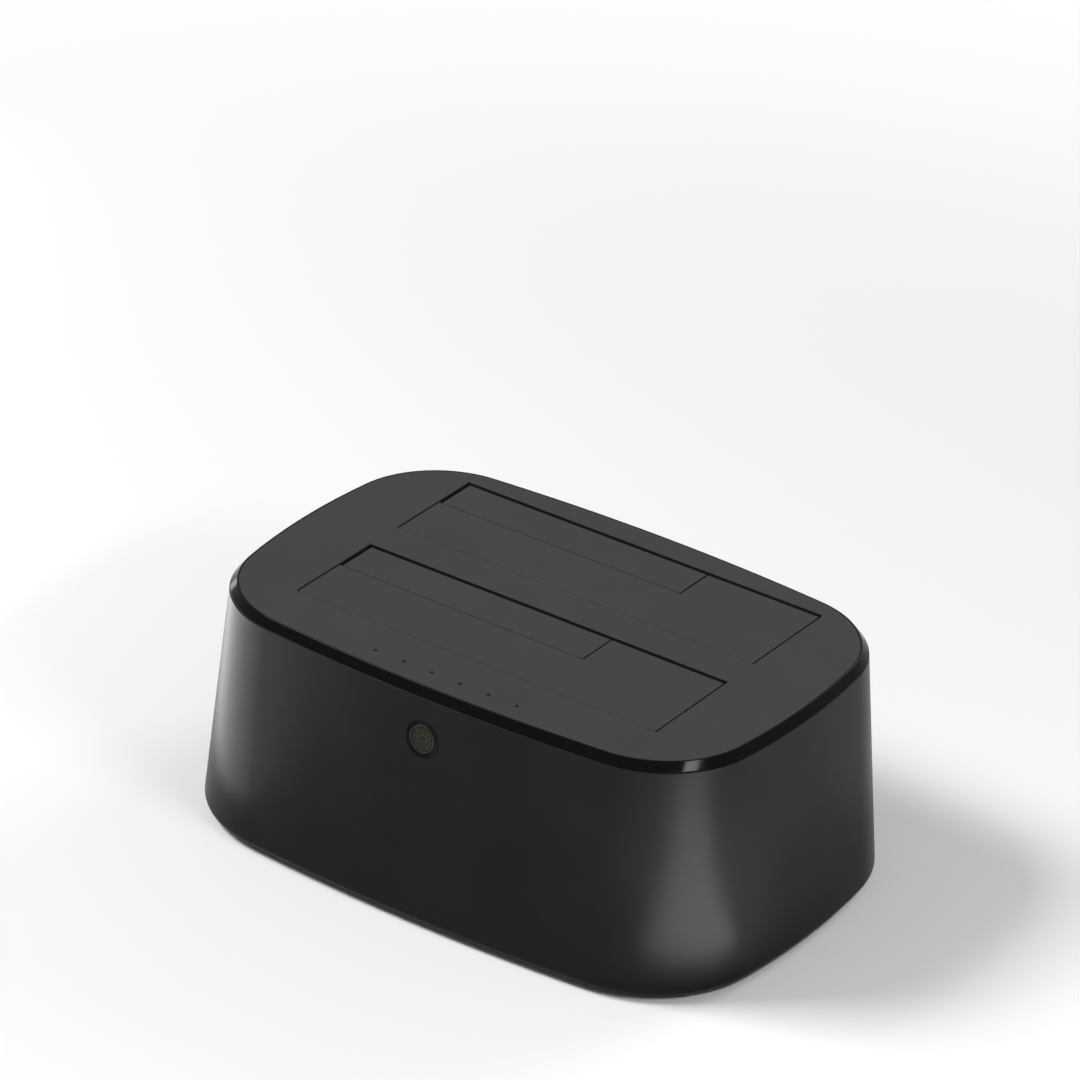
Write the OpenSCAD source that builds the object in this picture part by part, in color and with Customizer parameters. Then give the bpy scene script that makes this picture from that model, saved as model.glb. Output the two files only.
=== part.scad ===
// Desktop docking station with two bays: a bowed, tapering housing with a polished rim, a flat deck
// with sprung dust flaps, an indicator row, a round front button and the sockets at the back.
// Millimetres. X runs left to right, Y front to back, Z up, with the origin on the table at the middle.

/* [Housing] */
// Room between the ends of the bay liners and the rim's shelf
end_room = 11.3; // [9:0.1:16]
// Room between the rear bay's liner and the rim's shelf
back_room = 4.5; // [4.2:0.1:10]
// Radius of the bowed front and back
front_bow = 527; // [400:1:900]
// Radius of the bowed ends
end_bow = 182; // [150:1:320]
// Radius of the upright corners
corner_round = 32; // [28:0.5:34]
// How far each side leans in between foot and rim
lean = 5.1; // [4:0.1:6]
// Thickness of the housing's wall
wall = 2.2; // [1.8:0.1:2.6]
// Rounding under the housing's bottom edge
foot_round = 2; // [0.8:0.1:2.4]

/* [Deck and rim] */
// Height of the polished slope round the deck
rim_height = 2.2; // [1.8:0.1:2.8]
// Width of the polished slope round the deck
rim_slope = 1.8; // [1.4:0.1:2.4]
// Thickness of the deck
deck_thick = 2; // [1.6:0.1:2.6]

/* [Bays] */
// Length of each bay's mouth
bay_length = 103.4; // [102:0.1:108]
// Width of each bay's mouth, front to back
bay_width = 29.6; // [28:0.1:32]
// Depth from the deck to the floor of a bay
bay_depth = 38.5; // [36:0.5:44]
// Gap between the two bay liners
bay_gap = 3.6; // [1:0.1:12]
// Room under the bays, above the tallest socket at the back
under_room = 0.65; // [0.4:0.05:4]
// Wall of the bay liners
liner_wall = 1.4; // [1:0.1:1.6]

/* [Dust flaps] */
// Length of the small flap in each large one, from its left end
small_length = 71; // [68:0.5:76]
// Width of the small flap, front to back
small_width = 11.6; // [10:0.1:13]
// Thickness of a flap
flap_thick = 1.6; // [1.2:0.1:2]
// Radius of the large flaps' hinge pins
pin_radius = 0.8; // [0.6:0.05:0.9]
// Radius of the small flaps' hinge pins
small_pin_radius = 0.5; // [0.4:0.05:0.6]
// Turns of each flap spring
spring_turns = 5; // [4:1:7]

/* [Front button] */
// Diameter of the button
button_diameter = 8; // [7:0.1:9]
// Width of the ring round the button
bezel_width = 0.9; // [0.7:0.1:1.4]
// Drop from the deck to the button's middle
button_drop = 12.5; // [12:0.5:16]
// Length of the button's stem, from its flange to the switch behind it
stem_length = 1.1; // [0.6:0.1:5]

/* [Indicators] */
// Distance between neighbouring indicator holes
led_pitch = 8.1; // [6:0.1:9]
// Diameter of an indicator hole
led_hole = 1; // [0.9:0.05:1.6]
// Number of indicators
led_count = 6; // [4:1:6]

/* [Boards and sockets] */
// Thickness of the circuit boards
board_thick = 1.6; // [1.2:0.1:2]
// Height of a bay socket above the floor of its bay
socket_rise = 7; // [5:0.5:8]
// Distance from the left end of a bay to its socket
socket_margin = 5; // [3:0.5:8]
// Place of the data socket along the back
usb_x = 8; // [6:0.5:12]
// Place of the power inlet along the back
jack_x = 30; // [26:0.5:36]
// Place of the power switch along the back
switch_x = -30; // [-34:0.5:-24]

/* [Feet] */
// Diameter of a rubber foot
foot_diameter = 10; // [8:0.5:12]
// Height of the feet below the housing
foot_height = 1.2; // [0.8:0.1:2.4]

/* [Hidden] */

// Clearances
fit_gap = 0.02;      // radial gap of a pressed or threaded fit
run_gap = 0.06;      // radial gap of a pin that turns
slide_gap = 0.15;    // gap of a piece that slides
edge_gap = 0.25;     // gap between moulded edges
flap_gap = 0.4;      // gap at the ends of a flap
hinge_gap = 0.12;    // gap at a flap's hinged edge
swing_gap = 1;       // gap at a flap's free edge as it swings
small_end_gap = 1.2; // gap at the left end of a small flap
port_gap = 0.3;      // gap round a socket
past = 1;            // how far a cut runs past a face
sides = 48;          // fineness of small rounds
outline_sides = 360; // fineness of the outline's arcs

// Base plate and main board, from the table up
bottom_z = foot_height;
plate_thick = 2.2;
plate_top = bottom_z + plate_thick;
standoff = 2;
board_low = plate_top + standoff;
board_top = board_low + board_thick;

// Sizes of the back sockets
usb_width = 13;
usb_low_tall = 8.6;
usb_top_width = 9.4;
usb_tall = 12.2;
usb_depth = 17;
usb_skin = 0.4;
usb_plug_depth = 9.5;
jack_width = 9;
jack_tall = 11;
jack_depth = 14;
jack_bore = 3.2;
jack_bore_depth = 9.5;
jack_pin = 1.05;
jack_pin_tip = 0.8;
rocker_half = 4.5;
rocker_width = 8;
rocker_rest = 7;
rocker_crest = 2;
rocker_depth = 1.6;
rocker_sink = 0.8;
rocker_end = rocker_crest + rocker_half * tan(rocker_rest);
rocker_swing = norm([rocker_half, rocker_end]) + edge_gap;
switch_rim = 1.2;
switch_tall = 2 * (rocker_swing + switch_rim);
switch_width = rocker_width + 2 * (edge_gap + switch_rim);
switch_depth = 9.6;
switch_pocket = 5.6;
trunnion_radius = 0.8;
trunnion_length = 0.7;

// Heights: the bays stand on the sockets' room, and the deck on the bays
liner_floor = 1.6;
seat_z = board_top + max(usb_tall, jack_tall, switch_tall) + under_room + liner_floor;
body_height = seat_z + bay_depth;
deck_under = body_height - deck_thick;
wall_top = body_height - rim_height;
rim_flange = 1.6;
rim_low = deck_under - rim_flange;
ledge_thick = 1.6;
shelf_low = rim_low - ledge_thick;

// Lean of the walls: how far in from the foot outline the outer face lies at a height
lean_rate = lean / (wall_top - bottom_z);
lean_angle = atan(lean_rate);
function inset_at(z) = (z - bottom_z) * lean_rate;

// Foot rounding, whose flat under the wall keeps a least width
foot_steps = 2;
foot_flat = 0.2;
round_in = foot_round * (lean_rate + norm([1, lean_rate]));
foot_wall = max(wall, round_in + foot_flat);

// Rim and deck insets from the foot outline
rim_edge = 0.3;
deck_gap = 0.08;
lip = 1.1;
ledge_reach = 1.4;
deck_inset = lean + rim_slope + rim_edge;
shelf_inset = deck_inset + ledge_reach;
low_ledge = 2;
plate_inset = foot_wall + edge_gap;

// Bay liners
hinge_under = 1.5;
liner_recess = 4.2;
liner_round = 0.5;
liner_outer_round = 3.4;
liner_back = bay_width / 2;
liner_front = bay_width / 2 + liner_recess;
liner_middle = (liner_back - liner_front) / 2;
ear_reach = 3.2;
ear_half = 3;
ear_thick = 1.6;
ear_x = bay_length / 2 + liner_wall + ear_reach;
deck_boss_radius = 2.4;
deck_boss_length = 5;
deck_boss_low = deck_under - deck_boss_length;
deck_boss_end = 0.6;
liner_screw_radius = 1.2;
liner_head = 2.2;
liner_head_height = 1.5;

// Stack from the front bay's liner out to the front button: board, small switch, button and bezel
front_boss_length = 2;
front_boss_radius = 2.6;
tact_size = 6;
tact_depth = 3.5;
tact_well = 1.3;
plunger_radius = 1.7;
plunger_proud = 0.8;
plunger_sunk = 0.6;
stem_radius = 1.6;
button_radius = button_diameter / 2;
button_height = body_height - button_drop;
button_proud = 0.1;
button_flange_gap = 0.2;
button_flange_thick = 1;
bezel_proud = 0.15;
bezel_in = button_radius + slide_gap;
bezel_out = bezel_in + bezel_width;
bezel_flange = 0.9;
bezel_flange_thick = 1.1;
bezel_flange_gap = 0.1;
bezel_sink = wall + bezel_flange_gap + lean_rate * (bezel_out + bezel_flange) + bezel_flange_thick;
switch_stack = front_boss_length + board_thick + tact_depth + plunger_proud;
button_stack = stem_length + button_flange_thick + button_flange_gap + bezel_sink;

// Size of the housing at its foot, round the bays and what stands beside them
front_margin = liner_recess + liner_wall + switch_stack + button_stack + inset_at(button_height);
back_margin = liner_wall + back_room + shelf_inset;
bay_pitch = bay_width + liner_recess + 2 * liner_wall + bay_gap;
half_depth = (front_margin + bay_pitch + bay_width + back_margin) / 2;
half_length = ear_x + ear_half + end_room + shelf_inset;
front_bay_y = front_margin + bay_width / 2 - half_depth;
rear_bay_y = front_bay_y + bay_pitch;

// Plan outline: front and back arcs, end arcs and the corner arcs that touch both
end_centre = half_length - end_bow;
bow_centre = front_bow - half_depth;
corner = let (
  to_bow = front_bow - corner_round,
  to_end = end_bow - corner_round,
  span = norm([end_centre, bow_centre]),
  along = (to_bow * to_bow - to_end * to_end + span * span) / (2 * span),
  off = sqrt(to_bow * to_bow - along * along)
) [
  (end_centre * along + bow_centre * off) / span,
  -bow_centre + (bow_centre * along - end_centre * off) / span
];
end_half = atan2(corner.y, corner.x - end_centre);
bow_half = atan2(corner.x, corner.y + bow_centre);
corner_span = 90 - end_half - bow_half;
corner_lap = 8;
corner_proud = 0.05;
OUTLINE = [
  [[end_centre, 0], end_bow, -end_half, 2 * end_half],
  [[corner.x, corner.y], corner_round, end_half, corner_span],
  [[0, -bow_centre], front_bow, 90 - bow_half, 2 * bow_half],
  [[-corner.x, corner.y], corner_round, 90 + bow_half, corner_span],
  [[-end_centre, 0], end_bow, 180 - end_half, 2 * end_half],
  [[-corner.x, -corner.y], corner_round, 180 + end_half, corner_span],
  [[0, bow_centre], front_bow, 270 - bow_half, 2 * bow_half],
  [[corner.x, -corner.y], corner_round, 270 + bow_half, corner_span]
];
function front_face(x, z) = -(sqrt(pow(front_bow - inset_at(z), 2) - x * x) - bow_centre);

// Depth of the stretches that carry a profile, and of the core that joins them
core_depth = 22;
core_reach = 14;

// Deck posts, which the base screws draw down
post_radius = 3.2;
post_angle = 30;
post_reach = corner_round - shelf_inset - post_radius - 2 * edge_gap;
post_x = corner.x + post_reach * cos(post_angle);
post_y = corner.y + post_reach * sin(post_angle);
screw_radius = 1.3;
screw_head = 2.7;
screw_head_height = 1.6;
screw_grip = 10;
boss_radius = 4.4;
boss_rise = 1.6;
post_low = plate_top + boss_rise;
head_depth = 1.8;
cross_length = 1.1;
cross_width = 0.28;
screw_tip_gap = 0.4;

// Feet
foot_from_end = 37;
foot_from_front = 16;
foot_x = half_length - foot_from_end;
foot_y = half_depth - foot_from_front;
foot_sink = 0.8;
foot_edge = 0.4;

// Flap hinges
barrel_radius = 1.9;
barrel_gap = 0.4;
hinge_drop = deck_thick + barrel_radius + barrel_gap;
hinge_z = body_height - hinge_drop;
function hinge_y(bay_y) = bay_y - bay_width / 2 - hinge_under;
flap_sink = 0.1;
arm_reach = 4;
flap_half = bay_length / 2 - flap_gap;
flap_top = hinge_drop - flap_sink;
flap_start = hinge_under + hinge_gap;
mouth_back = hinge_under + bay_width - swing_gap;
flap_back = sqrt(mouth_back * mouth_back - flap_top * flap_top);

// Hinge of the small flap, under the large flap's front strip; places are from the large flap's hinge
strip_back = flap_back - small_width;
notch_x = small_length - flap_half;
small_under = 1.3;
small_barrel_wall = 0.6;
small_barrel_gap = 0.2;
small_barrel = small_pin_radius + small_barrel_wall;
small_top = flap_thick + small_barrel_gap + small_barrel;
small_y = strip_back - small_under;
small_z = flap_top - small_top;
small_start = small_under + hinge_gap;
small_reach = mouth_back - small_y;
small_back = min(flap_back - small_y, sqrt(small_reach * small_reach - small_top * small_top));
small_arm_reach = 3;
small_lug = 3;
small_left = small_end_gap - bay_length / 2;
small_from = -flap_half + small_lug + flap_gap;
small_to = notch_x - flap_gap;

// Flap springs
spring_wire = 0.25;
spring_space = 0.55;
spring_bore_gap = 0.3;
spring_x = bay_length / 4;
spring_end_gap = 1;
spring_leg = 8;
spring_sides = 6;
spring_rings = 8;
small_wire = 0.2;
small_bore_gap = 0.12;
small_leg = 5;
small_spring_x = (small_from + small_to) / 2;
function spring_pitch(wire) = 2 * wire + spring_space;
function spring_bay(wire) = spring_turns * spring_pitch(wire) + 2 * spring_end_gap;

// Front board, set off the front bay's liner, with the small switch on it
liner_face = front_bay_y - liner_front - liner_wall;
front_board_back = liner_face - front_boss_length;
front_board_face = front_board_back - board_thick;
front_board_least = 27;
led_end_margin = 2.7;
front_board_half = max(front_board_least, led_pitch * led_count / 2 + led_end_margin);
front_board_drop = 3.8;
front_board_top = deck_under - front_board_drop;
front_board_tall = 18.2;
front_board_low = front_board_top - front_board_tall;
front_screw_edge = 5;
front_screw_x = front_board_half - front_screw_edge;
front_screw_z = front_board_low + front_screw_edge;
front_screw_radius = 1;
front_screw_head = 2;
front_screw_head_height = 1.4;
tact_face = front_board_face - tact_depth;
button_face = front_face(0, button_height);
bezel_back = button_face + bezel_sink;
bezel_flange_front = bezel_back - bezel_flange_thick;

// Indicators
led_stand = 1.6;
led_y = front_board_face - led_stand;
led_width = 2.2;
led_tall = 1.8;
led_edge = 0.2;
led_top = front_board_top - led_edge;
guide_tall = 2;
guide_half = 1.5;
guide_stub = 0.9;
guide_low = deck_under - guide_tall;
function led_x(i) = (i - (led_count - 1) / 2) * led_pitch;

// Main board
main_end_gap = 25.2;
main_front_gap = 9.6;
main_back_gap = 8.2;
main_half = half_length - main_end_gap;
main_front = main_front_gap - half_depth;
main_back = half_depth - main_back_gap;
standoff_from_end = 4;
standoff_from_edge = 6;
standoff_floor = 1;
standoff_x = main_half - standoff_from_end;
standoff_front = main_front + standoff_from_edge;
standoff_back = main_back - standoff_from_edge;
standoff_radius = 3;

// Parts on the main board: place, then length, width and height
bridge_at = [22, -6];
bridge_size = [10, 10, 1.4];
memory_at = [36, -8];
memory_size = [5.2, 6, 1.6];
crystal_at = [22, -16];
crystal_size = [5, 3.2, 1.1];
coil_at = [18, 12];
coil_size = [7, 7, 4.2];
coil_step = 10;
coil_count = 3;
can_at = [17, 24];
can_radius = 3.1;
can_tall = 7.6;
can_step = 9;
can_count = 4;

// Bay sockets
socket_length = 42;
socket_x = -bay_length / 2 + socket_margin + socket_length / 2;
socket_thick = 6.4;
socket_back = 1.6;
socket_top = seat_z + socket_rise;
socket_slot = 2.4;
socket_slot_depth = 6.5;
contact_pitch = 1.27;
contact_thick = 0.3;
contact_width = 0.7;
data_pins = 7;
power_pins = 15;
slot_margin = 1.5;
data_slot = data_pins * contact_pitch + slot_margin;
power_slot = power_pins * contact_pitch + slot_margin;
slot_gap = 2.4;
contact_length = 4.5;
function socket_y(bay_y) = bay_y + liner_back - socket_back - socket_thick / 2;

// Back sockets, all on the main board with their faces just inside the back wall
port_reach = 6.5;
port_rise = 13;
port_sink = 0.4;
port_far = max(abs(jack_x), abs(switch_x), abs(usb_x)) + port_reach;
port_face = -front_face(port_far, board_top + port_rise) - port_sink;
rocker_y = port_face - rocker_crest - rocker_sink;
rocker_z = board_top + switch_tall / 2;

// Ribbon between the boards
ribbon_x = 12;
ribbon_width = 9;
ribbon_thick = 0.6;
header_width = 12;
header_depth = 3.2;
ribbon_y = front_board_face - header_depth / 2;
header_tall = 3.6;
header_edge = 0.6;
header_top = front_board_low + header_tall + header_edge;

// Colours
plastic_black = [0.13, 0.13, 0.14];
gloss_black = [0.05, 0.05, 0.06];
liner_black = [0.09, 0.09, 0.1];
board_green = [0.06, 0.28, 0.16];
steel = [0.72, 0.73, 0.75];
chip_black = [0.16, 0.16, 0.17];
brass_tone = [0.83, 0.68, 0.3];
clear_tone = [0.85, 0.9, 0.95];
rubber_black = [0.08, 0.08, 0.08];
ribbon_grey = [0.75, 0.76, 0.78];
header_white = [0.9, 0.88, 0.82];

// A solid with a side profile carried round the outline. The profile is a list of points from its lowest
// to its highest, each measured outwards from the foot outline and up from the table.
// Corner arcs stand a little proud and run into their neighbours, so that the stretches cross cleanly.
module oval_solid(profile) {
  low = profile[0].y;
  high = profile[len(profile) - 1].y;
  for (arc = OUTLINE)
    let (
      is_corner = arc[1] == corner_round,
      lap = is_corner ? corner_lap : 0,
      proud = is_corner ? corner_proud : 0
    )
      translate([arc[0].x, arc[0].y, 0])
        rotate_extrude(angle = arc[3] + 2 * lap, start = arc[2] - lap, $fn = outline_sides)
          polygon(concat(
            [[arc[1] - core_depth, low]],
            [for (point = profile) [arc[1] + point.x + proud, point.y]],
            [[arc[1] - core_depth, high]]
          ));
  translate([0, 0, low])
    linear_extrude(high - low)
      polygon([
        for (arc = OUTLINE)
          let (reach = arc[1] - core_reach)
            [arc[0].x + reach * cos(arc[2]), arc[0].y + reach * sin(arc[2])]
      ]);
}

// A plate of the outline, drawn in by an inset
module oval_plate(inset, low, high) {
  oval_solid([[-inset, low], [-inset, high]]);
}

module at_corners(x, y) {
  for (sx = [-1, 1], sy = [-1, 1])
    translate([sx * x, sy * y, 0])
      children();
}

// A box from its lowest to its highest corner
module box(low, high) {
  translate(low)
    cube(high - low);
}

// A cylinder along Y from one depth to another
module rod_y(radius, x, z, from, to) {
  translate([x, from, z])
    rotate([-90, 0, 0])
      cylinder(r = radius, h = to - from, $fn = sides);
}

// A screw with its head below (dir 1) or above (dir -1) the face that it draws on
module screw(radius, length, head, head_height, dir) {
  rotate([dir > 0 ? 0 : 180, 0, 0]) {
    cylinder(r = radius, h = length, $fn = sides);
    difference() {
      translate([0, 0, -head_height])
        cylinder(r = head, h = head_height, $fn = sides);
      for (turn = [0, 90])
        rotate([0, 0, turn])
          translate([0, 0, -head_height])
            cube([head * cross_length, head * cross_width, head_height], center = true);
    }
  }
}

// Outside of the housing: foot rounding and leaning wall
module housing_outside() {
  oval_solid(concat(
    [
      for (i = [0:foot_steps])
        let (angle = -90 + (90 + lean_angle) * i / foot_steps)
          [foot_round * cos(angle) - round_in, foot_round * (1 + sin(angle)) + bottom_z]
    ],
    [[-lean, wall_top]]
  ));
}

// Hollow of the housing: seat of the base plate, low ledge, wall, rim shelf and rim seat
module housing_inside() {
  oval_solid([
    [-foot_wall, bottom_z - past],
    [-foot_wall, plate_top],
    [-foot_wall - low_ledge, plate_top],
    [-foot_wall - low_ledge, plate_top + ledge_thick],
    [-wall - inset_at(plate_top + ledge_thick), plate_top + ledge_thick],
    [-wall - inset_at(shelf_low), shelf_low],
    [-shelf_inset, shelf_low],
    [-shelf_inset, rim_low],
    [-lean - lip, rim_low],
    [-lean - lip, wall_top + past]
  ]);
}

// Opening in the back wall round a socket that stands on the main board
module port_opening(x, width, tall) {
  half = width / 2 + port_gap;
  box([x - half, port_face - wall - 2 * past, board_top - port_gap],
      [x + half, half_depth + past, board_top + tall + port_gap]);
}

module housing() {
  color(plastic_black)
    difference() {
      housing_outside();
      housing_inside();
      rod_y(bezel_out + slide_gap, 0, button_height, button_face - 2 * past, bezel_back);
      port_opening(usb_x, usb_width, usb_tall);
      port_opening(jack_x, jack_width, jack_tall);
      port_opening(switch_x, switch_width, switch_tall);
    }
}

module gloss_rim() {
  rebate = lean + lip + slide_gap;
  color(gloss_black)
    difference() {
      oval_solid([
        [-rebate, rim_low],
        [-rebate, wall_top],
        [-lean, wall_top],
        [-lean - rim_slope, body_height]
      ]);
      oval_solid([
        [-shelf_inset, rim_low - past],
        [-shelf_inset, deck_under],
        [-deck_inset, deck_under],
        [-deck_inset, body_height + past]
      ]);
    }
}

module top_deck() {
  color(plastic_black)
    difference() {
      union() {
        oval_plate(deck_inset + deck_gap, deck_under, body_height);
        at_corners(post_x, post_y)
          translate([0, 0, post_low])
            cylinder(r = post_radius, h = deck_under + deck_thick / 2 - post_low, $fn = sides);
        for (y = [front_bay_y, rear_bay_y], side = [-1, 1])
          translate([side * ear_x, y + liner_middle, deck_boss_low])
            cylinder(r = deck_boss_radius, h = deck_boss_length + deck_thick / 2, $fn = sides);
      }
      for (y = [front_bay_y, rear_bay_y])
        translate([0, y, deck_under + deck_thick / 2])
          cube([bay_length, bay_width, deck_thick + 2 * past], center = true);
      for (i = [0:led_count - 1])
        translate([led_x(i), led_y, deck_under - past])
          cylinder(r = led_hole / 2, h = deck_thick + 2 * past, $fn = sides);
      at_corners(post_x, post_y)
        translate([0, 0, post_low - past])
          cylinder(r = screw_radius + fit_gap, h = screw_grip + 2 * past, $fn = sides);
      for (y = [front_bay_y, rear_bay_y], side = [-1, 1])
        translate([side * ear_x, y + liner_middle, deck_boss_low - past])
          cylinder(r = liner_screw_radius + fit_gap, h = deck_boss_length - deck_boss_end + past,
                   $fn = sides);
    }
}

module base_plate() {
  color(plastic_black)
    difference() {
      union() {
        oval_plate(plate_inset, bottom_z, plate_top);
        at_corners(post_x, post_y)
          translate([0, 0, bottom_z])
            cylinder(r = boss_radius, h = plate_thick + boss_rise, $fn = sides);
        for (x = [-standoff_x, standoff_x], y = [standoff_front, standoff_back])
          translate([x, y, bottom_z])
            cylinder(r = standoff_radius, h = plate_thick + standoff, $fn = sides);
      }
      at_corners(post_x, post_y) {
        translate([0, 0, bottom_z - past])
          cylinder(r = screw_head + edge_gap, h = head_depth + past, $fn = sides);
        translate([0, 0, bottom_z])
          cylinder(r = screw_radius + edge_gap, h = plate_thick + boss_rise + past, $fn = sides);
      }
      at_corners(foot_x, foot_y)
        translate([0, 0, bottom_z - past])
          cylinder(r = foot_diameter / 2 + slide_gap, h = foot_sink + past, $fn = sides);
      for (x = [-standoff_x, standoff_x], y = [standoff_front, standoff_back])
        translate([x, y, bottom_z + standoff_floor])
          cylinder(r = liner_screw_radius + fit_gap, h = plate_thick + standoff, $fn = sides);
    }
}

module rubber_feet() {
  color(rubber_black)
    at_corners(foot_x, foot_y) {
      cylinder(r1 = foot_diameter / 2 - foot_edge, r2 = foot_diameter / 2, h = foot_edge, $fn = sides);
      translate([0, 0, foot_edge])
        cylinder(r = foot_diameter / 2, h = foot_height + foot_sink - foot_edge, $fn = sides);
    }
}

module base_screws() {
  length = post_low - bottom_z - head_depth + screw_grip;
  color(steel)
    at_corners(post_x, post_y)
      translate([0, 0, bottom_z + head_depth])
        screw(screw_radius, length, screw_head, screw_head_height, 1);
}

// Outline of a bay liner in plan, grown by a margin, with rounded corners
module liner_plan(margin, round) {
  half = bay_length / 2 + margin;
  back = liner_back + margin;
  front = -liner_front - margin;
  translate([-half, front + round])
    square([2 * half, back - front - 2 * round]);
  translate([-half + round, front])
    square([2 * (half - round), back - front]);
  for (x = [-half + round, half - round], y = [front + round, back - round])
    translate([x, y])
      circle(r = round, $fn = sides);
}

module bay_liner(bay_y, bosses) {
  color(liner_black)
    difference() {
      union() {
        translate([0, bay_y, seat_z - liner_floor])
          linear_extrude(deck_under - seat_z + liner_floor)
            liner_plan(liner_wall, liner_outer_round);
        for (side = [-1, 1]) {
          ear_root = ear_reach + liner_wall / 2;
          translate([side * ear_x, bay_y + liner_middle, deck_boss_low - ear_thick])
            cylinder(r = ear_half, h = ear_thick, $fn = sides);
          translate([side * (ear_x - ear_root / 2), bay_y + liner_middle, deck_boss_low - ear_thick / 2])
            cube([ear_root, 2 * ear_half, ear_thick], center = true);
        }
        if (bosses)
          for (x = [-front_screw_x, front_screw_x])
            rod_y(front_boss_radius, x, front_screw_z, front_board_back, liner_face + liner_wall / 2);
      }
      translate([0, bay_y, seat_z])
        linear_extrude(deck_under - seat_z + past)
          liner_plan(0, liner_round);
      for (side = [-1, 1])
        translate([side * ear_x, bay_y + liner_middle, deck_boss_low - ear_thick - past])
          cylinder(r = liner_screw_radius + edge_gap, h = ear_thick + 2 * past, $fn = sides);
      translate([socket_x, socket_y(bay_y), seat_z - liner_floor / 2])
        cube([socket_length + 2 * port_gap, socket_thick + 2 * port_gap, liner_floor + 2 * past],
             center = true);
      at_hinge(bay_y)
        rod_x(pin_radius + fit_gap, -bay_length / 2 - liner_wall - past, bay_length / 2 + liner_wall + past);
      if (bosses)
        for (x = [-front_screw_x, front_screw_x])
          rod_y(front_screw_radius + fit_gap, x, front_screw_z, front_board_back - past,
                liner_face + liner_wall / 2);
    }
}

module front_bay_liner() {
  bay_liner(front_bay_y, true);
}

module rear_bay_liner() {
  bay_liner(rear_bay_y, false);
}

module liner_screws() {
  length = ear_thick + deck_boss_length - deck_boss_end - screw_tip_gap;
  color(steel)
    for (y = [front_bay_y, rear_bay_y], side = [-1, 1])
      translate([side * ear_x, y + liner_middle, deck_boss_low - ear_thick])
        screw(liner_screw_radius, length, liner_head, liner_head_height, 1);
}

// Panel of a flap in section, about its hinge axis
module flap_panel(start, back, top) {
  translate([start, top - flap_thick])
    square([back - start, flap_thick]);
}

// Barrel of a flap in section, with the arm that carries the panel
module flap_knuckle(barrel, start, top, reach) {
  arm = start + reach;
  root = barrel / 2;
  circle(r = barrel, $fn = sides);
  polygon([
    [start, barrel],
    [0, root],
    [root, -root],
    [arm, top - flap_thick],
    [arm, top - flap_thick / 2],
    [start, top - flap_thick / 2]
  ]);
}

// Lug under the large flap in section, about the small flap's hinge axis
module small_lug_section() {
  circle(r = small_barrel, $fn = sides);
  translate([-small_barrel, 0])
    square([2 * small_barrel, small_top - flap_thick / 2]);
}

// A section drawn out along the hinge axis
module span_x(from, to) {
  translate([from, 0, 0])
    rotate([90, 0, 90])
      linear_extrude(to - from)
        children();
}

// Pin or bore along the hinge axis
module rod_x(radius, from, to) {
  translate([from, 0, 0])
    rotate([0, 90, 0])
      cylinder(r = radius, h = to - from, $fn = sides);
}

module at_hinge(bay_y) {
  translate([0, hinge_y(bay_y), hinge_z])
    children();
}

module at_small_hinge(bay_y) {
  at_hinge(bay_y)
    translate([0, small_y, small_z])
      children();
}

// Large flap: a panel with a notch at its left for the small flap, whose pin it carries in two lugs
module flap(bay_y) {
  inner = spring_x - spring_bay(spring_wire) / 2;
  outer = spring_x + spring_bay(spring_wire) / 2;
  color(plastic_black)
    at_hinge(bay_y)
      difference() {
        union() {
          span_x(-flap_half, flap_half)
            flap_panel(flap_start, strip_back, flap_top);
          span_x(notch_x, flap_half)
            flap_panel(flap_start, flap_back, flap_top);
          for (span = [[-flap_half, -outer], [-inner, inner], [outer, flap_half]])
            span_x(span[0], span[1])
              flap_knuckle(barrel_radius, flap_start, flap_top, arm_reach);
          for (from = [-flap_half, notch_x])
            translate([0, small_y, small_z])
              span_x(from, from + small_lug)
                small_lug_section();
        }
        rod_x(pin_radius + run_gap, -flap_half - past, flap_half + past);
        translate([0, small_y, small_z])
          rod_x(small_pin_radius + fit_gap, -flap_half - past, notch_x + small_lug + past);
      }
}

module front_flap() {
  flap(front_bay_y);
}

module rear_flap() {
  flap(rear_bay_y);
}

module flap_pin(bay_y) {
  half = bay_length / 2 + liner_wall;
  color(steel)
    at_hinge(bay_y)
      rod_x(pin_radius, -half, half);
}

module front_flap_pin() {
  flap_pin(front_bay_y);
}

module rear_flap_pin() {
  flap_pin(rear_bay_y);
}

module small_flap(bay_y) {
  inner = small_spring_x - spring_bay(small_wire) / 2;
  outer = small_spring_x + spring_bay(small_wire) / 2;
  color(plastic_black)
    at_small_hinge(bay_y)
      difference() {
        union() {
          span_x(small_left, small_to)
            flap_panel(small_start, small_back, small_top);
          for (span = [[small_from, inner], [outer, small_to]])
            span_x(span[0], span[1])
              flap_knuckle(small_barrel, small_start, small_top, small_arm_reach);
        }
        rod_x(small_pin_radius + run_gap, small_from - past, small_to + past);
      }
}

module front_small_flap() {
  small_flap(front_bay_y);
}

module rear_small_flap() {
  small_flap(rear_bay_y);
}

module small_pin(bay_y) {
  color(steel)
    at_small_hinge(bay_y)
      rod_x(small_pin_radius, -flap_half, notch_x + small_lug);
}

module front_small_pin() {
  small_pin(front_bay_y);
}

module rear_small_pin() {
  small_pin(rear_bay_y);
}

// Path of a torsion spring about a hinge axis: a leg to the front, the coil, and a leg under the flap
spring_steps = spring_turns * spring_rings;
function spring_path(radius, wire, front, tip) =
  let (
    half = spring_turns * spring_pitch(wire) / 2,
    end = atan2(tip.y, tip.x) + acos(radius / norm(tip)),
    turned = 360 * spring_turns + 90 - end
  )
    concat(
      [[-half, front, radius]],
      [
        for (i = [0:spring_steps])
          let (angle = 90 - turned * i / spring_steps)
            [(2 * i / spring_steps - 1) * half, radius * cos(angle), radius * sin(angle)]
      ],
      [[half, tip.x, tip.y]]
    );

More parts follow.
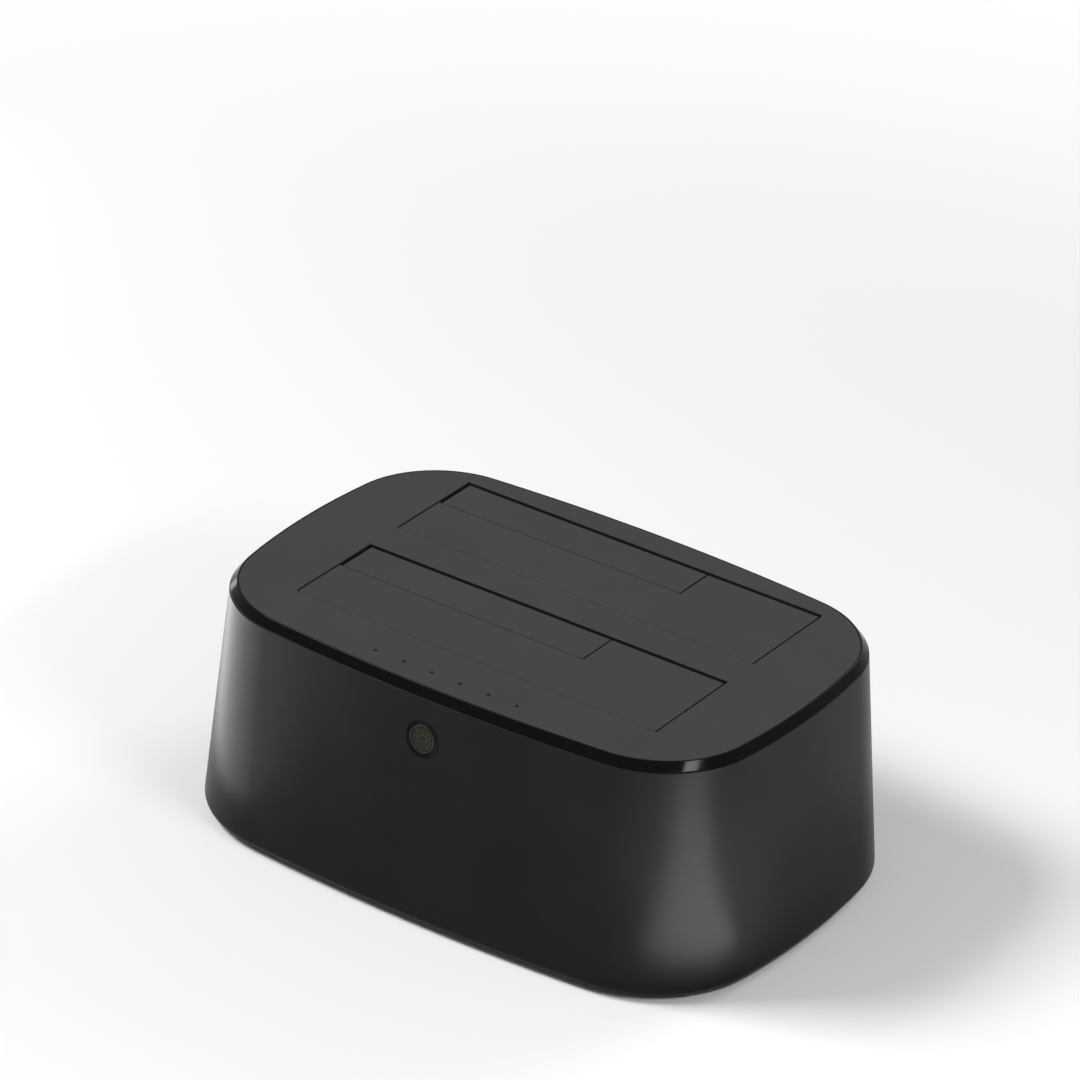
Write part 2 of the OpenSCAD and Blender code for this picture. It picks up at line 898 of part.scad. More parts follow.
function self_gap(path, wire) = min([
  for (i = [0:len(path) - 1], j = [0:len(path) - 1])
    if (j - i > spring_rings / 2)
      norm(path[i] - path[j])
]) - 2 * wire;

SPRING_PATH = spring_path(
  pin_radius + spring_bore_gap + spring_wire,
  spring_wire,
  hinge_under - liner_recess + spring_wire + slide_gap,
  [spring_leg, flap_top - flap_thick - spring_wire - slide_gap]
);
SMALL_PATH = spring_path(
  small_pin_radius + small_bore_gap + small_wire,
  small_wire,
  -small_leg,
  [small_leg, small_top - flap_thick - small_wire - slide_gap]
);
echo(spring_self_gap = self_gap(SPRING_PATH, spring_wire));
echo(small_self_gap = self_gap(SMALL_PATH, small_wire));

function unit(v) = v / norm(v);

// A tube swept along a path, as one closed surface of triangles
module tube(path, radius, around) {
  count = len(path);
  points = [
    for (i = [0:count - 1])
      let (
        tangent = unit(path[min(i + 1, count - 1)] - path[max(i - 1, 0)]),
        across = unit([1, 0, 0] - tangent.x * tangent),
        up = cross(tangent, across)
      )
        for (k = [0:around - 1])
          path[i] + radius * (cos(360 * k / around) * across + sin(360 * k / around) * up)
  ];
  skin = [
    for (i = [0:count - 2], k = [0:around - 1])
      let (a = i * around + k, b = i * around + (k + 1) % around)
        each [[a, a + around, b], [b, a + around, b + around]]
  ];
  caps = [
    for (k = [1:around - 2])
      each [[0, k, k + 1], [(count - 1) * around, (count - 1) * around + k + 1, (count - 1) * around + k]]
  ];
  polyhedron(points, concat(skin, caps));
}

module flap_springs(bay_y) {
  color(steel)
    at_hinge(bay_y)
      for (side = [-1, 1])
        translate([side * spring_x, 0, 0])
          tube(SPRING_PATH, spring_wire, spring_sides);
}

module front_flap_springs() {
  flap_springs(front_bay_y);
}

module rear_flap_springs() {
  flap_springs(rear_bay_y);
}

module small_spring(bay_y) {
  color(steel)
    at_small_hinge(bay_y)
      translate([small_spring_x, 0, 0])
        tube(SMALL_PATH, small_wire, spring_sides);
}

module front_small_spring() {
  small_spring(front_bay_y);
}

module rear_small_spring() {
  small_spring(rear_bay_y);
}

module main_board() {
  color(board_green)
    difference() {
      box([-main_half, main_front, board_low], [main_half, main_back, board_top]);
      for (x = [-standoff_x, standoff_x], y = [standoff_front, standoff_back])
        translate([x, y, board_low - past])
          cylinder(r = liner_screw_radius + edge_gap, h = board_thick + 2 * past, $fn = sides);
    }
}

module board_screws() {
  length = board_thick + standoff + plate_thick - standoff_floor - screw_tip_gap;
  color(steel)
    for (x = [-standoff_x, standoff_x], y = [standoff_front, standoff_back])
      translate([x, y, board_top])
        screw(liner_screw_radius, length, liner_head, liner_head_height, -1);
}

// A block that stands on the main board
module block(at, size) {
  translate([at.x - size.x / 2, at.y - size.y / 2, board_top])
    cube(size);
}

module bridge_chip() {
  color(chip_black) block(bridge_at, bridge_size);
}

module memory_chip() {
  color(chip_black) block(memory_at, memory_size);
}

module crystal() {
  color(steel) block(crystal_at, crystal_size);
}

module power_inductors() {
  color(chip_black)
    for (i = [0:coil_count - 1])
      block(coil_at + [i * coil_step, 0], coil_size);
}

module capacitors() {
  color(steel)
    for (i = [0:can_count - 1])
      translate([can_at.x + i * can_step, can_at.y, board_top])
        cylinder(r = can_radius, h = can_tall, $fn = sides);
}

// The two slots of a bay socket, each given as its start and its length along the socket
slots_length = data_slot + slot_gap + power_slot;
SLOTS = [
  [-slots_length / 2, data_slot, data_pins],
  [-slots_length / 2 + data_slot + slot_gap, power_slot, power_pins]
];

module sata_socket(bay_y) {
  middle = socket_y(bay_y);
  color(chip_black)
    difference() {
      box([socket_x - socket_length / 2, middle - socket_thick / 2, board_top],
          [socket_x + socket_length / 2, middle + socket_thick / 2, socket_top]);
      for (slot = SLOTS)
        box([socket_x + slot[0], middle - socket_slot / 2, socket_top - socket_slot_depth],
            [socket_x + slot[0] + slot[1], middle + socket_slot / 2, socket_top + past]);
    }
}

module front_sata_socket() {
  sata_socket(front_bay_y);
}

module rear_sata_socket() {
  sata_socket(rear_bay_y);
}

module sata_contacts(bay_y) {
  middle = socket_y(bay_y);
  low = socket_top - socket_slot_depth;
  color(brass_tone)
    for (slot = SLOTS, i = [0:slot[2] - 1]) {
      x = socket_x + slot[0] + slot_margin / 2 + (i + 0.5) * contact_pitch;
      box([x - contact_width / 2, middle + socket_slot / 2 - contact_thick, low],
          [x + contact_width / 2, middle + socket_slot / 2, low + contact_length]);
    }
}

module front_sata_contacts() {
  sata_contacts(front_bay_y);
}

module rear_sata_contacts() {
  sata_contacts(rear_bay_y);
}

// Stepped face of the data socket, drawn in by a skin
module usb_face(skin) {
  translate([-usb_width / 2 + skin, skin])
    square([usb_width - 2 * skin, usb_low_tall - 2 * skin]);
  translate([-usb_top_width / 2 + skin, skin])
    square([usb_top_width - 2 * skin, usb_tall - 2 * skin]);
}

module usb_block(skin, from, to) {
  translate([usb_x, to, board_top])
    rotate([90, 0, 0])
      linear_extrude(to - from)
        usb_face(skin);
}

module usb_socket() {
  color(steel)
    difference() {
      usb_block(0, port_face - usb_depth, port_face);
      usb_block(usb_skin, port_face - usb_depth + usb_skin, port_face + past);
    }
}

module usb_tongue() {
  tongue_width = 5.6;
  tongue_low = 2.8;
  tongue_tall = 3.2;
  blade_low = 9;
  blade_tall = 1.5;
  tip = 1.2;
  color(chip_black) {
    usb_block(usb_skin, port_face - usb_depth + usb_skin, port_face - usb_plug_depth);
    box([usb_x - tongue_width / 2, port_face - usb_plug_depth, board_top + tongue_low],
        [usb_x + tongue_width / 2, port_face - tip, board_top + tongue_low + tongue_tall]);
    box([usb_x - tongue_width / 2, port_face - usb_plug_depth, board_top + blade_low],
        [usb_x + tongue_width / 2, port_face - tip, board_top + blade_low + blade_tall]);
  }
}

module dc_jack() {
  color(chip_black)
    difference() {
      box([jack_x - jack_width / 2, port_face - jack_depth, board_top],
          [jack_x + jack_width / 2, port_face, board_top + jack_tall]);
      rod_y(jack_bore, jack_x, board_top + jack_tall / 2, port_face - jack_bore_depth, port_face + past);
    }
}

module dc_jack_pin() {
  z = board_top + jack_tall / 2;
  tip = port_face - 2 * jack_pin_tip;
  color(steel) {
    rod_y(jack_pin, jack_x, z, port_face - jack_bore_depth, tip);
    translate([jack_x, tip, z])
      rotate([-90, 0, 0])
        cylinder(r1 = jack_pin, r2 = jack_pin / 2, h = jack_pin_tip, $fn = sides);
  }
}

module switch_body() {
  axle = rocker_width + 2 * (trunnion_length + edge_gap);
  color(chip_black)
    difference() {
      box([switch_x - switch_width / 2, port_face - switch_depth, board_top],
          [switch_x + switch_width / 2, port_face, board_top + switch_tall]);
      box([switch_x - rocker_width / 2 - edge_gap, port_face - switch_pocket, rocker_z - rocker_swing],
          [switch_x + rocker_width / 2 + edge_gap, port_face + past, rocker_z + rocker_swing]);
      translate([switch_x - axle / 2, rocker_y, rocker_z])
        rotate([0, 90, 0])
          cylinder(r = trunnion_radius + run_gap, h = axle, $fn = sides);
    }
}

// Rocker with a shallow valley across its face, resting tilted to its off side
module switch_rocker() {
  root = 2;
  shoulder = 0.5;
  color(gloss_black)
    translate([switch_x, rocker_y, rocker_z])
      rotate([-rocker_rest, 0, 0]) {
        translate([-rocker_width / 2, 0, 0])
          rotate([90, 0, 90])
            linear_extrude(rocker_width)
              polygon([
                [rocker_end, -rocker_half],
                [rocker_crest, 0],
                [rocker_end, rocker_half],
                [-shoulder, rocker_half],
                [-rocker_depth, root],
                [-rocker_depth, -root],
                [-shoulder, -rocker_half]
              ]);
        translate([-rocker_width / 2 - trunnion_length, 0, 0])
          rotate([0, 90, 0])
            cylinder(r = trunnion_radius, h = rocker_width + 2 * trunnion_length, $fn = sides);
      }
}

module front_board() {
  color(board_green)
    difference() {
      box([-front_board_half, front_board_face, front_board_low],
          [front_board_half, front_board_back, front_board_top]);
      for (x = [-front_screw_x, front_screw_x])
        rod_y(front_screw_radius + edge_gap, x, front_screw_z,
              front_board_face - past, front_board_back + past);
    }
}

module front_board_screws() {
  length = board_thick + front_boss_length;
  color(steel)
    for (x = [-front_screw_x, front_screw_x])
      translate([x, front_board_face, front_screw_z])
        rotate([-90, 0, 0])
          screw(front_screw_radius, length, front_screw_head, front_screw_head_height, 1);
}

module tact_switch() {
  color(chip_black)
    difference() {
      box([-tact_size / 2, tact_face, button_height - tact_size / 2],
          [tact_size / 2, front_board_face, button_height + tact_size / 2]);
      rod_y(plunger_radius + slide_gap, 0, button_height, tact_face - past, tact_face + tact_well);
    }
}

module tact_plunger() {
  color(brass_tone)
    rod_y(plunger_radius, 0, button_height, tact_face - plunger_proud, tact_face + plunger_sunk);
}

// Space in front of the leaning front face, moved out by a distance
module before_face(proud) {
  depth = 20;
  translate([0, button_face - proud, button_height])
    rotate([-lean_angle, 0, 0])
      translate([0, -depth / 2, 0])
        cube([2 * depth, depth, 2 * depth], center = true);
}

module clone_button() {
  flange_front = bezel_back + button_flange_gap;
  color(gloss_black)
    difference() {
      union() {
        rod_y(button_radius, 0, button_height, button_face - 2 * past, flange_front + button_flange_thick);
        rod_y(bezel_in + bezel_width / 2, 0, button_height, flange_front, flange_front + button_flange_thick);
        rod_y(stem_radius, 0, button_height, flange_front, tact_face - plunger_proud);
      }
      before_face(button_proud);
    }
}

module button_bezel() {
  color(gloss_black)
    difference() {
      union() {
        rod_y(bezel_out, 0, button_height, button_face - 2 * past, bezel_back);
        rod_y(bezel_out + bezel_flange, 0, button_height, bezel_flange_front, bezel_back);
      }
      rod_y(bezel_in, 0, button_height, button_face - 3 * past, bezel_back + past);
      before_face(bezel_proud);
    }
}

module indicator_leds() {
  color(clear_tone)
    for (i = [0:led_count - 1])
      translate([led_x(i), led_y, led_top - led_tall / 2])
        cube([led_width, 2 * led_stand, led_tall], center = true);
}

module light_guide() {
  color(clear_tone) {
    box([led_x(0) - guide_half, led_y - guide_half, guide_low],
        [led_x(led_count - 1) + guide_half, led_y + guide_half, deck_under]);
    for (i = [0:led_count - 1])
      translate([led_x(i), led_y, 0]) {
        translate([0, 0, deck_under - guide_tall / 2])
          cylinder(r = led_hole / 2 - fit_gap, h = deck_thick + guide_tall / 2 - slide_gap, $fn = sides);
        translate([0, 0, led_top])
          cylinder(r = guide_stub, h = guide_low + guide_tall / 2 - led_top, $fn = sides);
      }
  }
}

module ribbon_cable() {
  color(ribbon_grey)
    box([ribbon_x - ribbon_width / 2, ribbon_y - ribbon_thick / 2, board_top + header_tall],
        [ribbon_x + ribbon_width / 2, ribbon_y + ribbon_thick / 2, header_top - header_tall]);
}

module ribbon_headers() {
  color(header_white) {
    box([ribbon_x - header_width / 2, ribbon_y - header_depth / 2, board_top],
        [ribbon_x + header_width / 2, ribbon_y + header_depth / 2, board_top + header_tall]);
    box([ribbon_x - header_width / 2, ribbon_y - header_depth / 2, header_top - header_tall],
        [ribbon_x + header_width / 2, ribbon_y + header_depth / 2, header_top]);
  }
}

housing();
gloss_rim();
top_deck();
base_plate();
rubber_feet();
base_screws();
front_bay_liner();
rear_bay_liner();
liner_screws();
front_flap();
rear_flap();
front_flap_pin();
rear_flap_pin();
front_flap_springs();
rear_flap_springs();
front_small_flap();
rear_small_flap();
front_small_pin();
rear_small_pin();
front_small_spring();
rear_small_spring();
main_board();
board_screws();
bridge_chip();
memory_chip();
crystal();
power_inductors();
capacitors();
front_sata_socket();
rear_sata_socket();
front_sata_contacts();
rear_sata_contacts();
usb_socket();
usb_tongue();
dc_jack();
dc_jack_pin();
switch_body();
switch_rocker();
front_board();
front_board_screws();
tact_switch();
tact_plunger();
clone_button();
button_bezel();
indicator_leds();
light_guide();
ribbon_cable();
ribbon_headers();
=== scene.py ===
"""Looks of a desktop docking station with two bays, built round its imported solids.

Meshes are worked out in millimetres and stored in metres, in the frame of the solids: X runs left to
right, Y front to back and Z up from the table.
"""

import logging
import math
from dataclasses import dataclass
from enum import Enum

import bmesh
import bpy
from mathutils import Matrix, Quaternion, Vector, noise


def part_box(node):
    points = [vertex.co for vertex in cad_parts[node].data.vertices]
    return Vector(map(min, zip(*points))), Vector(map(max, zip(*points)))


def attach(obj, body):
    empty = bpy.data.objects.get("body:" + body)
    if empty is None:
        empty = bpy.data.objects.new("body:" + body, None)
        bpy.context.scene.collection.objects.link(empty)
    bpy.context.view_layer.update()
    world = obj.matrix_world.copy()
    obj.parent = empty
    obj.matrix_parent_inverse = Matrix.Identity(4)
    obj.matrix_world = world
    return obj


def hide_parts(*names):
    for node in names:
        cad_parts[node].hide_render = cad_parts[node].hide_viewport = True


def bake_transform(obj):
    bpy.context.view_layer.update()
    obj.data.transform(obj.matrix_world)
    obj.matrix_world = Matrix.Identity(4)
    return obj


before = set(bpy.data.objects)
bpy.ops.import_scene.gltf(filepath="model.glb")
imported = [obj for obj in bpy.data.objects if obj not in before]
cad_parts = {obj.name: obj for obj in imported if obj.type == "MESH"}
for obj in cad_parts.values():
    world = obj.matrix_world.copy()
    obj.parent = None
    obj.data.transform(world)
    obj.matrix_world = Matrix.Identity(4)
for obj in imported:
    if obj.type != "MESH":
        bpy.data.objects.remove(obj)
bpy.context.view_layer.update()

log = logging.getLogger("docking_station")

MM = 0.001
CHASSIS = "chassis"
BAYS = ("front", "rear")
ROUND_SIDES = 48
SMOOTH_ANGLE = math.radians(32)
ROUND_SEGMENTS = 3
EDGE_SEGMENTS = 2
WELD_REACH = 1e-6
CLOUD_DETAIL = 2.0
COLOUR_ENDS = (0.3, 0.7)
PATTERN_SPAN = (0.25, 0.75)
WHITE = "#ffffff"
X_AXIS, Y_AXIS, Z_AXIS = Vector((1, 0, 0)), Vector((0, 1, 0)), Vector((0, 0, 1))

Point = tuple[float, float]
Ring = list[Vector]
Piece = bpy.types.Object


def linear(hex_colour: str) -> tuple[float, float, float, float]:
    """Turns an sRGB hex colour to linear light.

    Args:
        hex_colour: Six hex digits, with or without a leading hash.

    Returns:
        Red, green, blue and a full alpha, in linear light.
    """
    digits = hex_colour.lstrip("#")
    levels = [int(digits[i:i + 2], 16) / 255 for i in (0, 2, 4)]
    red, green, blue = [v / 12.92 if v <= 0.04045 else ((v + 0.055) / 1.055) ** 2.4 for v in levels]
    return red, green, blue, 1.0


def add_node(tree: bpy.types.NodeTree, kind: str, settings: dict | None = None,
             links: dict | None = None) -> bpy.types.Node:
    """Adds a node with its settings and links.

    Args:
        tree: The node tree that takes the node.
        kind: Blender's name of the node type.
        settings: Values by input name, or by property name where no input has that name.
        links: Output sockets by the name or number of the input that each one feeds.

    Returns:
        The new node.
    """
    node = tree.nodes.new(kind)
    for name, value in (settings or {}).items():
        if name in node.inputs:
            node.inputs[name].default_value = value
        else:
            setattr(node, name, value)
    for name, source in (links or {}).items():
        tree.links.new(source, node.inputs[name])
    return node


class Axis(Enum):
    """Direction along which a section is drawn out."""

    X = "X"
    Y = "Y"

    def point(self, across: float, up: float, along: float) -> Vector:
        """Turns a place on the section and along the draw to X, Y and Z."""
        return Vector((along, across, up) if self is Axis.X else (across, along, up))


class Pattern(Enum):
    """Surface patterns: the texture node, its settings and how far it is stretched along X, Y and Z."""

    GRAIN = ("ShaderNodeTexNoise", {"Detail": 3.0, "Roughness": 0.6}, (1, 1, 1))
    SWELL = ("ShaderNodeTexNoise", {"Detail": 1.0, "Roughness": 0.4}, (1, 1, 1))
    DRAWN_X = ("ShaderNodeTexNoise", {"Detail": 4.0, "Roughness": 0.7}, (30, 1, 1))
    DRAWN_Z = ("ShaderNodeTexNoise", {"Detail": 4.0, "Roughness": 0.7}, (1, 1, 30))
    PEBBLE = ("ShaderNodeTexVoronoi", {"feature": "SMOOTH_F1"}, (1, 1, 1))
    TRACKS = ("ShaderNodeTexBrick", {"Mortar Size": 0.12, "Mortar Smooth": 0.3, "Brick Width": 3.0,
                                     "Row Height": 1.0}, (1, 1, 1))
    CORES = ("ShaderNodeTexWave", {"Scale": 0.314, "Distortion": 0.0, "bands_direction": "X"}, (1, 1, 1))


@dataclass(frozen=True)
class Finish:
    """A real material with the way its surface was made.

    Colours are sRGB hex. The pattern drives roughness and relief. Broad clouds mix the two colours, or the
    pattern does where accent_from_pattern is set.
    """

    name: str
    colour: str
    accent: str
    roughness: tuple[float, float]
    grain_mm: float
    relief_mm: float
    pattern: Pattern = Pattern.GRAIN
    cloud_mm: float = 18.0
    metallic: float = 0.0
    specular: float = 0.5
    ior: float = 1.5
    transmission: float = 0.0
    accent_from_pattern: bool = False

    def material(self) -> bpy.types.Material:
        """Makes the node material, or finds the one made before.

        Returns:
            The material with this finish's name.
        """
        made = bpy.data.materials.get(self.name)
        if made is not None:
            return made
        made = bpy.data.materials.new(self.name)
        made.use_nodes = True
        tree = made.node_tree
        tree.nodes.clear()
        kind, settings, stretch = self.pattern.value
        per_metre = 1 / (self.grain_mm * MM)
        spot = add_node(tree, "ShaderNodeTexCoord").outputs["Object"]
        scale = [per_metre / length for length in stretch]
        scaled = add_node(tree, "ShaderNodeMapping", {"Scale": scale}, {"Vector": spot})
        grain = add_node(tree, kind, {"Scale": 1.0, **settings}, {"Vector": scaled.outputs["Vector"]})
        level = grain.outputs["Distance" if self.pattern is Pattern.PEBBLE else "Fac"]
        cloud = add_node(tree, "ShaderNodeTexNoise",
                         {"Scale": 1 / (self.cloud_mm * MM), "Detail": CLOUD_DETAIL}, {"Vector": spot})
        ramp = add_node(tree, "ShaderNodeValToRGB", {},
                        {"Fac": level if self.accent_from_pattern else cloud.outputs["Fac"]})
        for end, position, colour in zip(ramp.color_ramp.elements, COLOUR_ENDS, (self.colour, self.accent)):
            end.position, end.color = position, linear(colour)
        rough = add_node(tree, "ShaderNodeMapRange",
                         {"From Min": PATTERN_SPAN[0], "From Max": PATTERN_SPAN[1],
                          "To Min": self.roughness[0], "To Max": self.roughness[1]}, {"Value": level})
        bump = add_node(tree, "ShaderNodeBump", {"Strength": 1.0, "Distance": self.relief_mm * MM},
                        {"Height": level})
        shader = add_node(tree, "ShaderNodeBsdfPrincipled",
                          {"Metallic": self.metallic, "IOR": self.ior, "Specular IOR Level": self.specular,
                           "Transmission Weight": self.transmission},
                          {"Base Color": ramp.outputs["Color"], "Roughness": rough.outputs["Result"],
                           "Normal": bump.outputs["Normal"]})
        add_node(tree, "ShaderNodeOutputMaterial", {}, {"Surface": shader.outputs["BSDF"]})
        return made

    def cover(self, piece: Piece) -> None:
        """Gives a piece this finish alone."""
        piece.data.materials.clear()
        piece.data.materials.append(self.material())


# Fine spark-eroded mould texture: an even satin black that gathers soft bands of light on the round corners.
# The true grain is near 0.1 mm and is drawn at 0.3 mm so that it shows. Outside, specular levels are below
# those of plain ABS, because the surround that the plastic mirrors here is white.
MOULDED_ABS = Finish("black_abs_spark_moulded", "#18181a", "#1c1c1d", (0.3, 0.38), 0.3, 0.004, specular=0.07)
# The deck has a deeper grain of the same kind, which spreads the light into a greyer, flatter haze
DECK_ABS = Finish("black_abs_deck_moulded", "#1c1c1d", "#202021", (0.4, 0.48), 0.3, 0.006, specular=0.2)
# Inside faces come from plainer tool steel, which makes them flatter than the outside; their colour is
# painted darker than the outside's, as painted shade in the bays' wells
LINER_ABS_PAINTED_SHADE = Finish("black_abs_liner_painted_shade", "#141415", "#19191a", (0.5, 0.6), 0.5, 0.008, specular=0.25)
# Diamond-polished mould: mirror-like black with the slightest swell of moulded plastic
POLISHED_ABS = Finish("black_abs_polished", "#050506", "#070708", (0.06, 0.1), 6.0, 0.004, Pattern.SWELL,
                      specular=0.05)
# Satin ring round the button, with a cool tint in the black
BEZEL_ABS = Finish("black_abs_bezel_satin_moulded", "#0d0f13", "#11141a", (0.3, 0.4), 0.8, 0.003,
                   specular=0.04)
# Black plastic flecked with a dull olive tone, as dark as its ring between the flecks
BUTTON_ABS = Finish("olive_flecked_abs_moulded", "#030302", "#36362a", (0.3, 0.45), 0.5, 0.03,
                    accent_from_pattern=True, specular=0.1)
# Glossy switch rocker: polyamide, a touch softer than polished ABS
ROCKER_NYLON = Finish("black_polyamide_glossy", "#0d0d0e", "#121213", (0.16, 0.24), 2.5, 0.006, Pattern.SWELL,
                      specular=0.35)
# Rubber feet: dull charcoal with a pebbled skin
RUBBER = Finish("black_rubber_moulded", "#191919", "#222222", (0.75, 0.9), 0.6, 0.03, Pattern.PEBBLE,
                specular=0.3)
# Zinc plate on steel screws: cool, slightly cloudy metal
ZINC_STEEL = Finish("steel_zinc_plated", "#b9bcc0", "#a3a7ad", (0.28, 0.42), 0.4, 0.004, metallic=1.0,
                    cloud_mm=1.5)
# Drawn hinge pins: bright, with fine lines along their length
DRAWN_STEEL = Finish("steel_drawn", "#c6c7c9", "#b0b2b5", (0.18, 0.34), 0.12, 0.003, Pattern.DRAWN_X,
                     metallic=1.0)
# Spring wire: darker patented steel with a fine, uneven sheen
SPRING_STEEL = Finish("spring_wire_drawn", "#9b9c9e", "#85868a", (0.25, 0.4), 0.15, 0.003, metallic=1.0,
                      cloud_mm=1.2)
# Glass-epoxy board under green solder mask, with the tracks as a faint relief
SOLDER_MASK = Finish("glass_epoxy_solder_masked", "#0d3d22", "#12502c", (0.25, 0.5), 1.6, 0.03,
                     Pattern.TRACKS, accent_from_pattern=True)
# Epoxy moulding compound: matte grey-black with a sandy skin
EPOXY = Finish("epoxy_chip_moulded", "#202123", "#292a2c", (0.55, 0.7), 0.15, 0.008, cloud_mm=3.0)
# Sintered ferrite: dark grey, faintly porous
FERRITE = Finish("ferrite_sintered", "#2c2c2e", "#3a3a3c", (0.55, 0.75), 0.25, 0.02, Pattern.PEBBLE,
                 cloud_mm=2.0)
# Nickel-plated pressed can: bright with a soft sheen
NICKEL_CAN = Finish("nickel_plated_can_pressed", "#cfcdc6", "#bdbbb4", (0.18, 0.3), 0.3, 0.003, metallic=1.0,
                    cloud_mm=2.0)
# Drawn aluminium can with lines up its side
ALUMINIUM_CAN = Finish("aluminium_can_drawn", "#c9cbce", "#b5b8bc", (0.25, 0.4), 0.15, 0.003, Pattern.DRAWN_Z,
                       metallic=1.0, cloud_mm=3.0)
# Glass-filled connector plastic: dull black with a dry, fibrous skin
CONNECTOR_LCP = Finish("liquid_crystal_polymer_moulded", "#151516", "#1e1e1f", (0.45, 0.62), 0.25, 0.008,
                       cloud_mm=4.0, specular=0.35)
# Gold flash on bronze contacts: warm and bright
GOLD_CONTACT = Finish("bronze_contact_gold_plated", "#d9b25a", "#c79d45", (0.18, 0.3), 0.2, 0.002,
                      metallic=1.0, cloud_mm=2.0)
# Stamped and tin-plated socket shell, with rolling lines
TIN_SHELL = Finish("steel_shell_tin_plated", "#c4c6c8", "#aeb1b4", (0.2, 0.36), 0.2, 0.004, Pattern.DRAWN_X,
                   metallic=1.0, cloud_mm=4.0)
# Data tongue in the blue that marks the fast socket
BLUE_TONGUE = Finish("blue_polymer_tongue_moulded", "#1d4f9c", "#235ab0", (0.35, 0.5), 0.25, 0.006,
                     cloud_mm=3.0)
# Acetal plunger: pale and waxy
ACETAL = Finish("acetal_moulded", "#c9b26a", "#d2bd79", (0.3, 0.42), 0.4, 0.004, cloud_mm=2.0)
# Cast epoxy lens of an indicator: clear and glassy
LENS_EPOXY = Finish("clear_epoxy_lens_cast", "#e6eaee", "#dfe5ea", (0.08, 0.14), 1.0, 0.003, Pattern.SWELL,
                    transmission=0.85)
# Smoked light guide, nearly black where it fills the deck's holes
SMOKED_GUIDE = Finish("smoked_acrylic_moulded", "#050506", "#080809", (0.2, 0.3), 1.2, 0.003, Pattern.SWELL,
                      transmission=0.2, ior=1.49, specular=0.02)
# Ribbon cable: soft grey PVC, ridged at every core
PVC_RIBBON = Finish("grey_pvc_ribbon_extruded", "#a9acb0", "#c2c5c9", (0.45, 0.6), 1.27, 0.15, Pattern.CORES,
                    accent_from_pattern=True)
# Natural nylon header: ivory with a soft sheen
NYLON = Finish("natural_nylon_moulded", "#d9d2bf", "#e2dccb", (0.4, 0.52), 0.35, 0.005, cloud_mm=4.0)


def box_mm(node: str) -> tuple[Vector, Vector]:
    """Gives the lowest and highest corner of a solid at rest, in millimetres."""
    low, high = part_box(node)
    return low / MM, high / MM


def middle_mm(node: str) -> Vector:
    """Gives the middle of a solid's box at rest, in millimetres."""
    low, high = box_mm(node)
    return (low + high) / 2


def rounded(points: list[Point], radii: list[float], steps: int = 4) -> list[Point]:
    """Rounds the corners of a closed section.

    Args:
        points: Corners in order.
        radii: Radius at each corner, where 0 keeps it sharp.
        steps: Stretches along each rounding.

    Returns:
        The section's points with an arc in place of each rounded corner.
    """
    shape: list[Point] = []
    for i, (point, radius) in enumerate(zip(points, radii)):
        here = Vector(point)
        to_last = (Vector(points[i - 1]) - here).normalized()
        to_next = (Vector(points[(i + 1) % len(points)]) - here).normalized()
        if radius <= 0:
            shape.append((here.x, here.y))
            continue
        half = to_last.angle(to_next) / 2
        centre = here + (to_last + to_next).normalized() * radius / math.sin(half)
        first = here + to_last * radius / math.tan(half) - centre
        last = here + to_next * radius / math.tan(half) - centre
        begin = math.atan2(first.y, first.x)
        turn = math.remainder(math.atan2(last.y, last.x) - begin, math.tau)
        for k in range(steps + 1):
            angle = begin + turn * k / steps
            shape.append((centre.x + radius * math.cos(angle), centre.y + radius * math.sin(angle)))
    return shape


def quarter_round(across: float, up: float, steps: int) -> list[Point]:
    """Lists how far a rounding has come across and up at each step, from an upright start to a level end."""
    angles = [math.pi / 2 * k / steps for k in range(steps + 1)]
    return [(across * (1 - math.cos(angle)), up * math.sin(angle)) for angle in angles]


def shade(piece: Piece) -> None:
    """Smooths a piece's faces and keeps its sharp edges."""
    piece.data.shade_smooth()
    piece.data.set_sharp_from_angle(angle=SMOOTH_ANGLE)


def mesh_piece(name: str, mesh: bmesh.types.BMesh) -> Piece:
    """Turns a mesh under construction into an object with outward normals.

    Args:
        name: Name of the piece.
        mesh: The finished mesh, which is freed.

    Returns:
        The new object, linked to the scene.
    """
    bmesh.ops.recalc_face_normals(mesh, faces=mesh.faces)
    data = bpy.data.meshes.new(name)
    mesh.to_mesh(data)
    mesh.free()
    piece = bpy.data.objects.new(name, data)
    bpy.context.scene.collection.objects.link(piece)
    shade(piece)
    return piece


def loft(name: str, rings: list[Ring], closed: bool = False) -> Piece:
    """Skins a row of rings.

    Args:
        name: Name of the piece.
        rings: Rings of as many points each, in millimetres.
        closed: Whether the last ring joins the first; otherwise both ends are capped.

    Returns:
        The new object.
    """
    mesh = bmesh.new()
    rows = [[mesh.verts.new(point * MM) for point in ring] for ring in rings]
    pairs = list(zip(rows, rows[1:]))
    if closed:
        pairs.append((rows[-1], rows[0]))
    else:
        mesh.faces.new(rows[0])
        mesh.faces.new(rows[-1])
    for low, high in pairs:
        for k in range(len(low)):
            after = (k + 1) % len(low)
            mesh.faces.new((low[k], low[after], high[after], high[k]))
    return mesh_piece(name, mesh)


def soften_edges(piece: Piece, width: float) -> None:
    """Rounds all the sharp edges of a new mesh.

    Args:
        piece: The piece.
        width: Width of the rounding in millimetres.
    """
    mesh = bmesh.new()
    mesh.from_mesh(piece.data)
    sharp = [edge for edge in mesh.edges if edge.calc_face_angle(0) > SMOOTH_ANGLE]
    bmesh.ops.bevel(mesh, geom=sharp, offset=width * MM, offset_type="OFFSET", segments=ROUND_SEGMENTS,
                    profile=0.5, affect="EDGES", clamp_overlap=True)
    mesh.to_mesh(piece.data)
    mesh.free()
    shade(piece)


